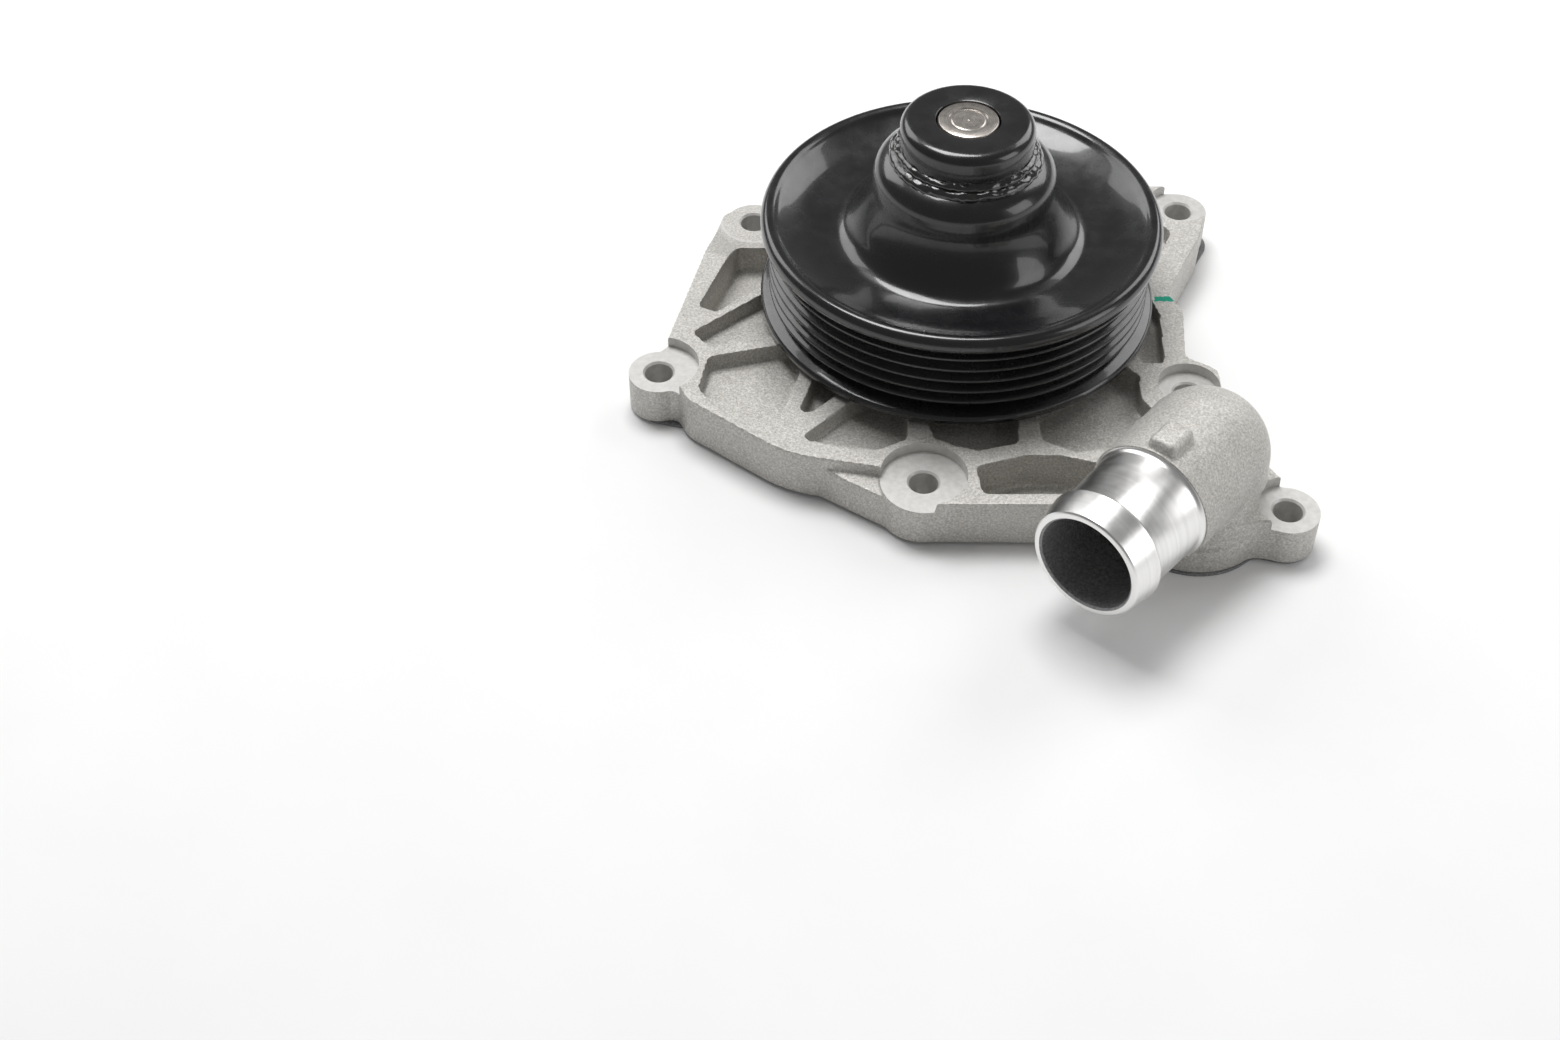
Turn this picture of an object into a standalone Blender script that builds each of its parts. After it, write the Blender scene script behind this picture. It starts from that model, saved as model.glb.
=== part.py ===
"""Engine coolant pump with a poly-V belt pulley, built as an assembly of separate solids.

Frame: the origin is on the shaft's axis in the engine's mounting plane, +Z runs along the shaft
towards the pulley, and the belt pulley turns about Z. Lengths below are in millimetres; every
mesh is made in metres. An outline is a list of corners (x, y, corner radius).
"""

import math

import bmesh
import bpy
from mathutils import Matrix, Vector

MM = 0.001
GAP = 0.3  # clearance between neighbouring solids
OVERSHOOT = 5.0  # how far a cutter runs past the face that it opens

# Levels above the mounting plane
GASKET_THICKNESS = 0.8
BASE_Z = GASKET_THICKNESS + GAP
LUG_TOP_Z = 11.5
LEDGE_TOP_Z = 11.0
RIM_TOP_Z = 14.5
BOWL_FLOOR_Z = 9.7
DEEP_FLOOR_Z = 3.8
VOLUTE_ROOF_Z = 6.6
CHAMBER_ROOF_Z = 14.0
SHAFT_NOSE_Z = 72.5

# Bolt lugs of the flange: centre, and radius of the flat spot face
BOLT_HOLE_R = 3.75
LUG_R = 8.0
MAIN_LUGS = [
    (-55.1, 37.2, 9.5),
    (-79.7, -27.2, 10.7),
    (-11.7, -68.7, 11.0),
    (66.5, 42.3, 8.6),
    (-6.7, 67.1, 8.6),
]
PORT_LUGS = [(58.9, -35.3, 9.6), (78.0, -78.7, 8.6)]

# Inlet elbow and hose spigot
PORT_X = 56.0
PORT_Y = -71.0
PORT_R = 12.75
PORT_FLANGE_R = 19.0
SPIGOT_AZIMUTH = math.radians(229.4)
SPIGOT_AXIS_Z = 24.0
SPIGOT_REACH = 50.2  # port axis to the spigot's end face
SPIGOT_BORE_R = 12.5
ELBOW_R = 16.3

# Impeller chamber and the twin volute around it
CHAMBER_R = 41.0
VOLUTE_START_R = 42.5
VOLUTE_LINEAR = 0.055  # growth in mm a degree
VOLUTE_SQUARE = 0.00095  # growth in mm a degree squared

# Bearing with the shaft as its inner race
SHAFT_R = 7.95
BEARING_R = 15.0
BEARING_Z = (23.0, 59.0)
RACE_INNER_R = 12.55
BALL_COUNT = 9
BALL_R = 2.4
BALL_PITCH_R = 10.1
BALL_ROW_Z = 30.0
ROLLER_COUNT = 12
ROLLER_R = 2.0
ROLLER_LENGTH = 8.0
ROLLER_PITCH_R = 10.25
ROLLER_ROW_Z = 50.0
TOWER_TOP_Z = 56.5
TOWER_R = 19.3

# Belt pulley: a poly-V rim with the PK rib pitch
RIB_PITCH = 3.56
RIB_COUNT = 6
RIB_TIP_R = 50.7
RIB_ROOT_R = 48.0
FIRST_RIDGE_Z = 35.9
RIM_R = 52.9
RIM_INNER_R = 45.2
RIM_BOTTOM_Z = 15.5
HUB_R = 17.3
HUB_BOTTOM_Z = 60.2

IMPELLER_R = 36.5
VANE_COUNT = 7

ROUND_STEPS = 30
FINE_STEPS = 36


# Scene, materials and mesh helpers


def clear_scene():
    for obj in list(bpy.data.objects):
        bpy.data.objects.remove(obj, do_unlink=True)


def new_collection(name):
    collection = bpy.data.collections.new(name)
    bpy.context.scene.collection.children.link(collection)
    return collection


def new_material(name, colour, roughness, metallic):
    material = bpy.data.materials.new(name)
    material.use_nodes = True
    shader = material.node_tree.nodes["Principled BSDF"]
    shader.inputs["Base Color"].default_value = (*colour, 1.0)
    shader.inputs["Roughness"].default_value = roughness
    shader.inputs["Metallic"].default_value = metallic
    return material


def new_object(name, mesh, collection):
    obj = bpy.data.objects.new(name, mesh)
    collection.objects.link(obj)
    if collection is not PARTS:
        obj.hide_render = True
        obj.display_type = "WIRE"
    return obj


def object_from_bmesh(name, shape, collection):
    bmesh.ops.recalc_face_normals(shape, faces=shape.faces)
    mesh = bpy.data.meshes.new(name)
    shape.to_mesh(mesh)
    shape.free()
    return new_object(name, mesh, collection)


def finish(obj, material, sharp_angle=35):
    """Gives a piece its material, and shades it smooth up to its sharp edges."""
    obj.data.materials.clear()
    obj.data.materials.append(MATERIALS[material])
    if obj.type == "MESH":
        obj.data.shade_smooth()
        obj.data.set_sharp_from_angle(angle=math.radians(sharp_angle))
    return obj


def rounded(corners, step_degrees=24):
    """The points of a closed outline whose corners (x, y, radius) are rounded by arcs."""
    points = []
    for i, (x, y, radius) in enumerate(corners):
        here = Vector((x, y))
        back = (Vector(corners[i - 1][:2]) - here).normalized()
        ahead = (Vector(corners[(i + 1) % len(corners)][:2]) - here).normalized()
        if radius <= 0:
            points.append((x, y))
            continue
        half = back.angle(ahead) / 2
        centre = here + (back + ahead).normalized() * radius / math.sin(half)
        first = here + back * radius / math.tan(half) - centre
        turn = (here + ahead * radius / math.tan(half) - centre).angle_signed(first)
        count = max(1, round(math.degrees(abs(turn)) / step_degrees))
        for k in range(count + 1):
            angle = turn * k / count
            spin = Matrix.Rotation(angle, 2)
            points.append(tuple(centre + spin @ first))
    return points


def circle_points(x, y, radius, steps=24):
    angles = [2 * math.pi * k / steps for k in range(steps)]
    return [(x + radius * math.cos(a), y + radius * math.sin(a)) for a in angles]


def prism(name, outline, low, high, collection):
    """A flat outline extruded from one height to another."""
    shape = bmesh.new()
    ring = [shape.verts.new((x * MM, y * MM, low * MM)) for x, y in outline]
    floor = shape.faces.new(ring)
    top = bmesh.ops.extrude_face_region(shape, geom=[floor])["geom"]
    lifted = [item for item in top if isinstance(item, bmesh.types.BMVert)]
    bmesh.ops.translate(shape, verts=lifted, vec=(0, 0, (high - low) * MM))
    return object_from_bmesh(name, shape, collection)


def cylinder(name, x, y, radius, low, high, collection, steps=ROUND_STEPS, top_radius=None):
    shape = bmesh.new()
    middle = Matrix.Translation((x * MM, y * MM, (low + high) / 2 * MM))
    bmesh.ops.create_cone(
        shape,
        cap_ends=True,
        segments=steps,
        radius1=radius * MM,
        radius2=(radius if top_radius is None else top_radius) * MM,
        depth=(high - low) * MM,
        matrix=middle,
    )
    return object_from_bmesh(name, shape, collection)


def sphere(name, place, radius, collection, steps=24):
    shape = bmesh.new()
    where = Matrix.Translation(Vector(place) * MM)
    bmesh.ops.create_uvsphere(
        shape, u_segments=steps, v_segments=steps // 2, radius=radius * MM, matrix=where
    )
    return object_from_bmesh(name, shape, collection)


def turned(name, profile, collection, steps=ROUND_STEPS, closed=True):
    """A profile of (radius, height), run down its outer side, turned about the object's Z."""
    shape = bmesh.new()
    line = [shape.verts.new((radius * MM, 0, height * MM)) for radius, height in profile]
    pairs = list(zip(line, line[1:]))
    if closed:
        pairs.append((line[-1], line[0]))
    for start, end in pairs:
        shape.edges.new((start, end))
    mesh = bpy.data.meshes.new(name)
    shape.to_mesh(mesh)
    shape.free()
    obj = new_object(name, mesh, collection)
    screw = obj.modifiers.new("turn", "SCREW")
    screw.steps = steps
    screw.render_steps = steps
    screw.use_merge_vertices = True
    screw.merge_threshold = 0.00001
    screw.use_smooth_shade = True
    return obj


def boolean(target, operation, operand):
    modifier = target.modifiers.new(operation.lower(), "BOOLEAN")
    modifier.operation = operation
    modifier.solver = "EXACT"
    if isinstance(operand, bpy.types.Collection):
        modifier.operand_type = "COLLECTION"
        modifier.collection = operand
    else:
        modifier.object = operand


def baked(obj):
    """Turns an object's modifiers into its mesh, so that it can be shaded by its edges."""
    graph = bpy.context.evaluated_depsgraph_get()
    mesh = bpy.data.meshes.new_from_object(obj.evaluated_get(graph))
    obj.modifiers.clear()
    obj.data = mesh
    return obj


def flat_sheet(name, outline, holes, low, high):
    """A thin plate cut from sheet: one outer outline and its holes."""
    curve = bpy.data.curves.new(name, "CURVE")
    curve.dimensions = "2D"
    curve.fill_mode = "BOTH"
    curve.extrude = (high - low) / 2 * MM
    for loop in [outline, *holes]:
        spline = curve.splines.new("POLY")
        spline.points.add(len(loop) - 1)
        for point, (x, y) in zip(spline.points, loop):
            point.co = (x * MM, y * MM, 0, 1)
        spline.use_cyclic_u = True
    obj = new_object(name, curve, PARTS)
    obj.location.z = (low + high) / 2 * MM
    return obj


# Outlines of the mounting flange


def volute_radius(degrees):
    return VOLUTE_START_R + VOLUTE_LINEAR * degrees + VOLUTE_SQUARE * degrees**2


def volute_outline():
    """Two spirals, half a turn apart, that each open into an outlet corner."""
    first = [(41.5, 5.0), (45.5, 5.5), (48.5, 8.5), (59.0, 32.0), (58.6, 35.0)]
    second = [(-43.5, -7.0), (-48.0, -7.0), (-57.5, -6.5), (-72.5, -22.0), (-72.0, -25.0)]
    points = []
    for outlet, start, sweep in ((first, 180, 126), (second, 0, 126)):
        spiral = [
            (
                volute_radius(turn) * math.cos(math.radians(start - turn)),
                volute_radius(turn) * math.sin(math.radians(start - turn)),
            )
            for turn in range(0, sweep + 1, 7)
        ]
        points += spiral + list(reversed(outlet))
    return points


MAIN_GASKET_OUTLINE = [
    (-66.0, 36.0, 6.5),
    (-58.0, 46.5, 6.5),
    (-42.0, 39.5, 5.0),
    (-32.0, 49.0, 20.0),
    (-12.5, 58.5, 4.0),
    (-15.0, 68.0, 5.0),
    (-6.7, 77.5, 6.5),
    (1.6, 68.0, 6.0),
    (3.5, 64.0, 5.0),
    (20.0, 65.6, 30.0),
    (41.0, 62.5, 16.0),
    (58.0, 47.0, 4.0),
    (68.5, 51.5, 7.0),
    (77.0, 42.0, 7.0),
    (51.5, -7.0, 6.0),
    (51.8, -32.0, 20.0),
    (34.0, -53.0, 20.0),
    (5.0, -62.5, 5.0),
    (-11.0, -80.5, 7.0),
    (-20.5, -64.0, 6.0),
    (-44.0, -59.5, 30.0),
    (-71.0, -37.5, 8.0),
    (-82.0, -34.5, 6.5),
    (-90.0, -24.0, 6.5),
    (-56.0, 7.0, 6.0),
    (-54.0, 24.0, 6.0),
]

PORT_GASKET_OUTLINE = [
    (51.2, -36.0, 4.0),
    (53.0, -27.8, 6.0),
    (66.0, -27.8, 6.5),
    (65.0, -44.0, 8.0),
    (64.6, -52.0, 6.0),
    (75.0, -69.3, 3.0),
    (86.0, -72.5, 7.0),
    (84.5, -88.0, 7.0),
    (70.0, -84.0, 4.0),
    (56.0, -98.5, 18.0),
    (31.0, -72.0, 18.0),
    (42.0, -56.5, 10.0),
    (50.0, -51.5, 5.0),
]

BODY_OUTLINE = [
    (-63.6, 41.0, 4.0),
    (-52.0, 45.2, 5.0),
    (-42.0, 42.0, 5.0),
    (-33.0, 49.5, 15.0),
    (-14.4, 60.5, 2.0),
    (-14.4, 69.0, 2.0),
    (1.2, 69.0, 2.0),
    (5.0, 65.8, 3.0),
    (21.0, 67.2, 30.0),
    (42.5, 63.8, 14.0),
    (58.5, 50.4, 3.0),
    (68.0, 50.3, 2.0),
    (74.5, 42.0, 2.0),
    (70.5, 27.5, 6.0),
    (58.2, 2.0, 4.0),
    (61.3, -6.0, 3.0),
    (59.5, -24.5, 3.0),
    (67.5, -29.5, 4.0),
    (67.0, -53.0, 6.0),
    (77.5, -70.7, 2.0),
    (84.5, -77.0, 2.0),
    (80.0, -86.6, 3.0),
    (70.0, -85.0, 4.0),
    (56.0, -90.0, 14.0),
    (39.0, -80.2, 6.0),
    (0.0, -79.6, 2.0),
    (-9.0, -79.6, 2.0),
    (-21.0, -71.0, 3.0),
    (-22.0, -66.5, 3.0),
    (-46.0, -61.5, 30.0),
    (-72.0, -41.0, 10.0),
    (-74.5, -34.6, 3.0),
    (-81.5, -35.0, 3.0),
    (-87.5, -28.0, 3.0),
    (-77.6, -17.0, 2.0),
]

# Blind pockets between the ribs, open at the top: corners and floor
POCKETS = {
    "upper_left": (
        [
            (-59.6, 24.5, 2.0),
            (-50.0, 24.5, 2.0),
            (-49.0, 9.0, 2.0),
            (-65.0, -6.0, 1.6),
            (-69.6, -3.5, 1.6),
        ],
        DEEP_FLOOR_Z,
    ),
    "left": (
        [
            (-71.0, -14.5, 1.6),
            (-50.0, 3.5, 2.0),
            (-44.5, -1.0, 2.0),
            (-44.5, -14.5, 2.0),
            (-66.5, -20.0, 1.6),
        ],
        BOWL_FLOOR_Z,
    ),
    "left_bowl": (
        [
            (-66.5, -24.5, 2.0),
            (-42.0, -18.5, 2.0),
            (-39.8, -21.5, 1.6),
            (-48.6, -50.6, 3.0),
            (-55.0, -51.6, 5.0),
            (-63.5, -44.5, 5.0),
            (-68.8, -37.0, 4.0),
        ],
        BOWL_FLOOR_Z,
    ),
    "rib_notch": (
        [(-36.5, -25.5, 1.6), (-42.8, -46.0, 1.6), (-39.8, -46.0, 1.6), (-28.0, -34.5, 1.6)],
        BOWL_FLOOR_Z,
    ),
    "front_left_bowl": (
        [
            (-42.5, -55.8, 1.6),
            (-24.5, -37.0, 1.6),
            (-14.5, -42.0, 1.6),
            (-15.5, -56.0, 1.6),
            (-23.0, -59.8, 2.0),
            (-32.0, -58.8, 8.0),
        ],
        BOWL_FLOOR_Z,
    ),
    "front_recess": (
        [
            (-11.5, -44.0, 1.6),
            (-8.0, -57.0, 1.6),
            (2.5, -60.2, 2.0),
            (12.5, -57.5, 1.6),
            (14.0, -42.5, 1.6),
        ],
        BOWL_FLOOR_Z,
    ),
    "front_right_bowl": (
        [
            (19.0, -56.5, 1.6),
            (18.0, -41.0, 1.6),
            (38.5, -23.0, 1.6),
            (46.2, -32.0, 2.0),
            (45.4, -40.5, 6.0),
            (50.5, -49.0, 2.0),
            (36.5, -59.0, 3.0),
            (27.5, -60.8, 2.0),
        ],
        BOWL_FLOOR_Z,
    ),
    "front": (
        [
            (1.6, -66.2, 1.6),
            (14.0, -62.2, 3.0),
            (23.0, -62.2, 3.0),
            (38.0, -67.0, 2.0),
            (38.0, -75.6, 1.6),
            (2.6, -75.6, 1.6),
        ],
        DEEP_FLOOR_Z,
    ),
    "right": (
        [
            (42.5, -16.0, 1.6),
            (48.0, -27.0, 1.6),
            (53.4, -27.0, 1.6),
            (54.6, -7.0, 3.0),
            (52.0, 3.5, 3.0),
            (44.0, 3.5, 2.0),
        ],
        BOWL_FLOOR_Z,
    ),
    "upper_right": (
        [
            (43.5, 8.0, 2.0),
            (53.0, 8.0, 2.0),
            (62.5, 29.0, 3.0),
            (53.5, 38.5, 3.0),
            (36.0, 26.0, 2.0),
        ],
        BOWL_FLOOR_Z,
    ),
}

# The back of the flange has plain pockets between radial ribs: start and end angle, outer radius
BACK_SECTORS = [(42.0, 66.0, 61.0), (71.0, 89.0, 59.0), (95.0, 113.0, 55.5), (118.0, 139.0, 53.0)]
SECTOR_INNER_R = 44.5


def sector_corners(start, end, inner, outer):
    """The outline of a pocket between two radial ribs."""
    points = []
    steps = 4
    for radius, angles in ((inner, range(steps + 1)), (outer, range(steps, -1, -1))):
        for k in angles:
            angle = math.radians(start + (end - start) * k / steps)
            points.append((radius * math.cos(angle), radius * math.sin(angle), 0.0))
    return points


# Housing


def spigot_matrix(along=0.0):
    """Places an object's Z on the spigot's axis, its origin that far back from the end face."""
    reach = SPIGOT_REACH - along
    place = Vector(
        (
            PORT_X + reach * math.cos(SPIGOT_AZIMUTH),
            PORT_Y + reach * math.sin(SPIGOT_AZIMUTH),
            SPIGOT_AXIS_Z,
        )
    )
    turn = Matrix.Rotation(SPIGOT_AZIMUTH, 4, "Z") @ Matrix.Rotation(math.radians(90), 4, "Y")
    return Matrix.Translation(place * MM) @ turn


def make_pockets(collection):
    for name, (corners, floor) in POCKETS.items():
        prism("pocket_" + name, rounded(corners), floor, RIM_TOP_Z + OVERSHOOT, collection)
    for i, (start, end, outer) in enumerate(BACK_SECTORS):
        corners = sector_corners(start, end, SECTOR_INNER_R, outer)
        outline = rounded(corners)
        prism(f"pocket_back_{i}", outline, BOWL_FLOOR_Z, RIM_TOP_Z + OVERSHOOT, collection)


def make_bosses(collection):
    """What stands out of the flange: lugs, the dome with the bearing tower, and the elbow."""
    for i, (x, y, _) in enumerate(MAIN_LUGS + PORT_LUGS):
        cylinder(f"lug_{i}", x, y, LUG_R, BASE_Z, LUG_TOP_Z, collection)
    front_lug = MAIN_LUGS[2]
    cylinder("front_boss", front_lug[0], front_lug[1], front_lug[2], BASE_Z, LUG_TOP_Z, collection)
    ledge = [(-40.0, -61.6, 1.0), (-20.0, -60.0, 1.0), (-12.0, -78.5, 1.0), (-17.5, -76.8, 2.0)]
    prism("front_ledge", rounded(ledge), BASE_Z, LEDGE_TOP_Z, collection)
    tower = [
        (0.0, TOWER_TOP_Z),
        (TOWER_R - 1.0, TOWER_TOP_Z),
        (TOWER_R, TOWER_TOP_Z - 1.0),
        (TOWER_R + 1.4, 26.0),
        (TOWER_R + 4.0, 21.5),
        (38.0, 17.4),
        (41.2, 14.0),
        (45.0, BOWL_FLOOR_Z - 0.5),
        (45.0, 4.0),
        (0.0, 4.0),
    ]
    turned("bearing_tower", tower, collection, FINE_STEPS, closed=False)
    # The port's base disc and the upright leg of the elbow
    cylinder("port_flange", PORT_X, PORT_Y, PORT_FLANGE_R, BASE_Z, 8.0, collection)
    cylinder(
        "elbow_leg", PORT_X, PORT_Y, PORT_FLANGE_R - 0.4, 4.0, SPIGOT_AXIS_Z, collection, top_radius=ELBOW_R
    )
    spigot = [
        (0.0, 0.0),
        (14.4, 0.0),
        (14.9, -0.6),
        (15.8, -7.4),
        (14.6, -9.0),
        (15.0, -26.0),
        (16.2, -27.4),
        (ELBOW_R, -44.0),
        (ELBOW_R, -SPIGOT_REACH),
        (0.0, -SPIGOT_REACH),
    ]
    obj = turned("spigot", spigot, collection, closed=False)
    obj.matrix_world = spigot_matrix()
    sphere("elbow_dome", (PORT_X, PORT_Y, SPIGOT_AXIS_Z), ELBOW_R + 0.2, collection)
    add_pad(collection)


def add_pad(collection):
    """The small rectangular pad on top of the elbow."""
    shape = bmesh.new()
    bmesh.ops.create_cube(shape, size=1.0)
    bmesh.ops.scale(shape, verts=shape.verts, vec=Vector((9.5, 7.5, 8.0)) * MM)
    pad = object_from_bmesh("elbow_pad", shape, collection)
    bevel = pad.modifiers.new("corners", "BEVEL")
    bevel.width = 1.2 * MM
    bevel.segments = 2
    place = spigot_matrix(32.5).translation + Vector((0.0, 0.0, ELBOW_R - 1.2)) * MM
    pad.matrix_world = Matrix.Translation(place) @ Matrix.Rotation(SPIGOT_AZIMUTH, 4, "Z")


def make_bores(collection):
    """What is machined or cored out of the casting."""
    below = BASE_Z - OVERSHOOT
    prism("volute", volute_outline(), below, VOLUTE_ROOF_Z, collection)
    chamber = [
        (0.0, CHAMBER_ROOF_Z),
        (CHAMBER_R - 2.5, CHAMBER_ROOF_Z),
        (CHAMBER_R, 9.5),
        (CHAMBER_R, below),
        (0.0, below),
    ]
    turned("chamber", chamber, collection, FINE_STEPS, closed=False)
    cylinder("seal_bore", 0, 0, 16.0 + GAP, CHAMBER_ROOF_Z - 2.0, 19.6, collection, FINE_STEPS)
    cylinder("shaft_passage", 0, 0, 12.5, 15.0, BEARING_Z[0] + 2.0, collection, FINE_STEPS)
    floor, mouth = BEARING_Z[0] - GAP, TOWER_TOP_Z + OVERSHOOT
    cylinder("bearing_bore", 0, 0, BEARING_R + GAP, floor, mouth, collection, FINE_STEPS)
    weep = cylinder("weep_hole", 0, 0, 1.6, 0.0, 36.0, collection, 12)
    weep.matrix_world = Matrix.Translation((0, 0, 21.7 * MM)) @ Matrix.Rotation(math.radians(90), 4, "X")
    for i, (x, y, face_r) in enumerate(MAIN_LUGS + PORT_LUGS):
        cylinder(f"bolt_hole_{i}", x, y, BOLT_HOLE_R, below, RIM_TOP_Z + OVERSHOOT, collection, 24)
        if (x, y, face_r) != PORT_LUGS[0]:
            cylinder(f"spot_face_{i}", x, y, face_r, LUG_TOP_Z, RIM_TOP_Z + OVERSHOOT, collection)
    x, y, face_r = PORT_LUGS[0]
    cylinder("spot_face_elbow", x, y, face_r - 1.5, LUG_TOP_Z, RIM_TOP_Z + OVERSHOOT, collection)
    cylinder("port", PORT_X, PORT_Y, PORT_R, below, SPIGOT_AXIS_Z, collection)
    sphere("elbow_corner", (PORT_X, PORT_Y, SPIGOT_AXIS_Z), PORT_R + 0.05, collection, 20)
    bore = cylinder("spigot_bore", 0, 0, SPIGOT_BORE_R, -SPIGOT_REACH, OVERSHOOT, collection)
    bore.matrix_world = spigot_matrix()


def make_housing():
    pockets = new_collection("cutters_pockets")
    bosses = new_collection("adders_bosses")
    bores = new_collection("cutters_bores")
    make_pockets(pockets)
    make_bosses(bosses)
    make_bores(bores)
    housing = prism("housing", rounded(BODY_OUTLINE), BASE_Z, RIM_TOP_Z, PARTS)
    boolean(housing, "DIFFERENCE", pockets)
    boolean(housing, "UNION", bosses)
    boolean(housing, "DIFFERENCE", bores)
    finish(baked(housing), "cast_aluminium", 40)


def make_gaskets():
    main_holes = [circle_points(x, y, BOLT_HOLE_R + 0.2, 20) for x, y, _ in MAIN_LUGS]
    flat_sheet(
        "main_gasket", rounded(MAIN_GASKET_OUTLINE), [volute_outline(), *main_holes], 0.0, GASKET_THICKNESS
    )
    port_holes = [circle_points(x, y, BOLT_HOLE_R + 0.2, 20) for x, y, _ in PORT_LUGS]
    port_holes.append(circle_points(PORT_X, PORT_Y, PORT_R, 32))
    flat_sheet("port_gasket", rounded(PORT_GASKET_OUTLINE), port_holes, 0.0, GASKET_THICKNESS)
    for name in ("main_gasket", "port_gasket"):
        gasket = bpy.data.objects[name]
        graph = bpy.context.evaluated_depsgraph_get()
        mesh = bpy.data.meshes.new_from_object(gasket.evaluated_get(graph))
        shape = bmesh.new()
        shape.from_mesh(mesh)
        bmesh.ops.remove_doubles(shape, verts=shape.verts, dist=0.01 * MM)
        shape.to_mesh(mesh)
        shape.free()
        place = gasket.matrix_world.copy()
        bpy.data.objects.remove(gasket)
        made = new_object(name, mesh, PARTS)
        made.matrix_world = place
        finish(made, "gasket_paper")


# Rotor: shaft, hub, pulley and impeller


def make_shaft():
    groove = 0.55
    profile = [
        (0.0, SHAFT_NOSE_Z),
        (SHAFT_R - 0.8, SHAFT_NOSE_Z),
        (SHAFT_R, SHAFT_NOSE_Z - 0.8),
        (SHAFT_R, BALL_ROW_Z + 2.0),
        (SHAFT_R - groove, BALL_ROW_Z + 1.0),
        (SHAFT_R - groove, BALL_ROW_Z - 1.0),
        (SHAFT_R, BALL_ROW_Z - 2.0),
        (SHAFT_R, 1.0),
        (SHAFT_R - 1.0, 0.0),
        (0.0, 0.0),
    ]
    finish(turned("shaft", profile, PARTS, closed=False), "shaft_steel")


def make_pulley_hub():
    """The turned hub that is pressed on the shaft's nose."""
    edge = 2.8
    turns = [math.radians(a) for a in range(0, 91, 18)]
    corner = [
        (HUB_R - edge + edge * math.sin(a), SHAFT_NOSE_Z - edge + edge * math.cos(a)) for a in turns
    ]
    profile = [
        *corner,
        (HUB_R, 64.2),
        (HUB_R - 0.4, HUB_BOTTOM_Z + 1.0),
        (HUB_R - 1.4, HUB_BOTTOM_Z),
        (SHAFT_R + GAP, HUB_BOTTOM_Z),
        (SHAFT_R + GAP, SHAFT_NOSE_Z),
    ]
    finish(turned("pulley_hub", profile, PARTS), "pulley_paint")


def make_weld_bead():
    """The fillet weld between hub and pulley."""
    profile = [
        (HUB_R + GAP, 64.4),
        (HUB_R + 1.3, 63.9),
        (HUB_R + 2.3, 62.9),
        (HUB_R + 2.6, 62.1),
        (HUB_R + GAP, 62.1),
    ]
    finish(turned("weld_bead", profile, PARTS), "pulley_paint")


def rim_grooves():
    """The V ribs and grooves of the belt track, from the top flange down."""
    flat = 0.35
    points = []
    ridges = [FIRST_RIDGE_Z - RIB_PITCH * k for k in range(RIB_COUNT - 1)]
    points.append((RIB_ROOT_R, ridges[0] + RIB_PITCH / 2 + flat))
    for z in ridges:
        points.append((RIB_ROOT_R, z + RIB_PITCH / 2 - flat))
        points.append((RIB_TIP_R, z + flat))
        points.append((RIB_TIP_R, z - flat))
        points.append((RIB_ROOT_R, z - RIB_PITCH / 2 + flat))
    points.append((RIB_ROOT_R, ridges[-1] - RIB_PITCH / 2 - flat / 2))
    return points


def make_pulley():
    """One spun sheet: bell, dish, rolled lip and grooved rim."""
    bell = [
        (HUB_R + 0.5, 61.7),
        (HUB_R + 2.2, 61.5),
        (21.8, 60.0),
        (23.3, 57.8),
        (23.8, 55.0),
        (24.4, 51.0),
        (25.8, 47.0),
        (27.8, 43.0),
        (29.4, 40.4),
        (31.4, 38.8),
        (34.5, 38.3),
        (42.0, 39.6),
        (47.5, 41.8),
    ]
    lip = [
        (49.6, 43.2),
        (51.2, 43.4),
        (52.4, 42.5),
        (RIM_R, 41.0),
        (52.5, 39.7),
        (51.4, 39.0),
    ]
    bottom = [
        (51.2, 18.6),
        (52.4, 18.2),
        (RIM_R, 17.4),
        (RIM_R - 0.1, 16.3),
        (52.0, RIM_BOTTOM_Z),
        (49.8, RIM_BOTTOM_Z + 0.2),
        (47.2, RIM_BOTTOM_Z + 0.9),
        (RIM_INNER_R, RIM_BOTTOM_Z + 2.6),
    ]
    inside = [
        (RIM_INNER_R, 37.6),
        (42.0, 37.0),
        (34.6, 35.7),
        (30.6, 36.3),
        (27.6, 38.6),
        (25.6, 41.8),
        (23.4, 46.2),
        (21.9, 50.6),
        (21.2, 54.8),
        (20.7, 56.9),
        (19.7, 58.4),
        (HUB_R + 0.5, 59.2),
    ]
    profile = bell + lip + rim_grooves() + bottom + inside
    finish(turned("pulley", profile, PARTS, FINE_STEPS), "pulley_paint")


def vane_outline(start):
    """One swept-back vane: two arcs of points along a spiral, a constant thickness apart."""
    thickness = 2.4
    sweep = math.radians(48)
    inner, outer, steps = 12.0, IMPELLER_R - 0.6, 7
    middle = []
    for k in range(steps + 1):
        share = k / steps
        radius = inner + (outer - inner) * share
        angle = start + sweep * share**0.8
        middle.append(Vector((radius * math.cos(angle), radius * math.sin(angle))))
    sides = ([], [])
    for k, point in enumerate(middle):
        along = middle[min(k + 1, steps)] - middle[max(k - 1, 0)]
        across = Vector((-along.y, along.x)).normalized() * thickness / 2
        sides[0].append(tuple(point + across))
        sides[1].append(tuple(point - across))
    return sides[0] + list(reversed(sides[1]))


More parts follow.
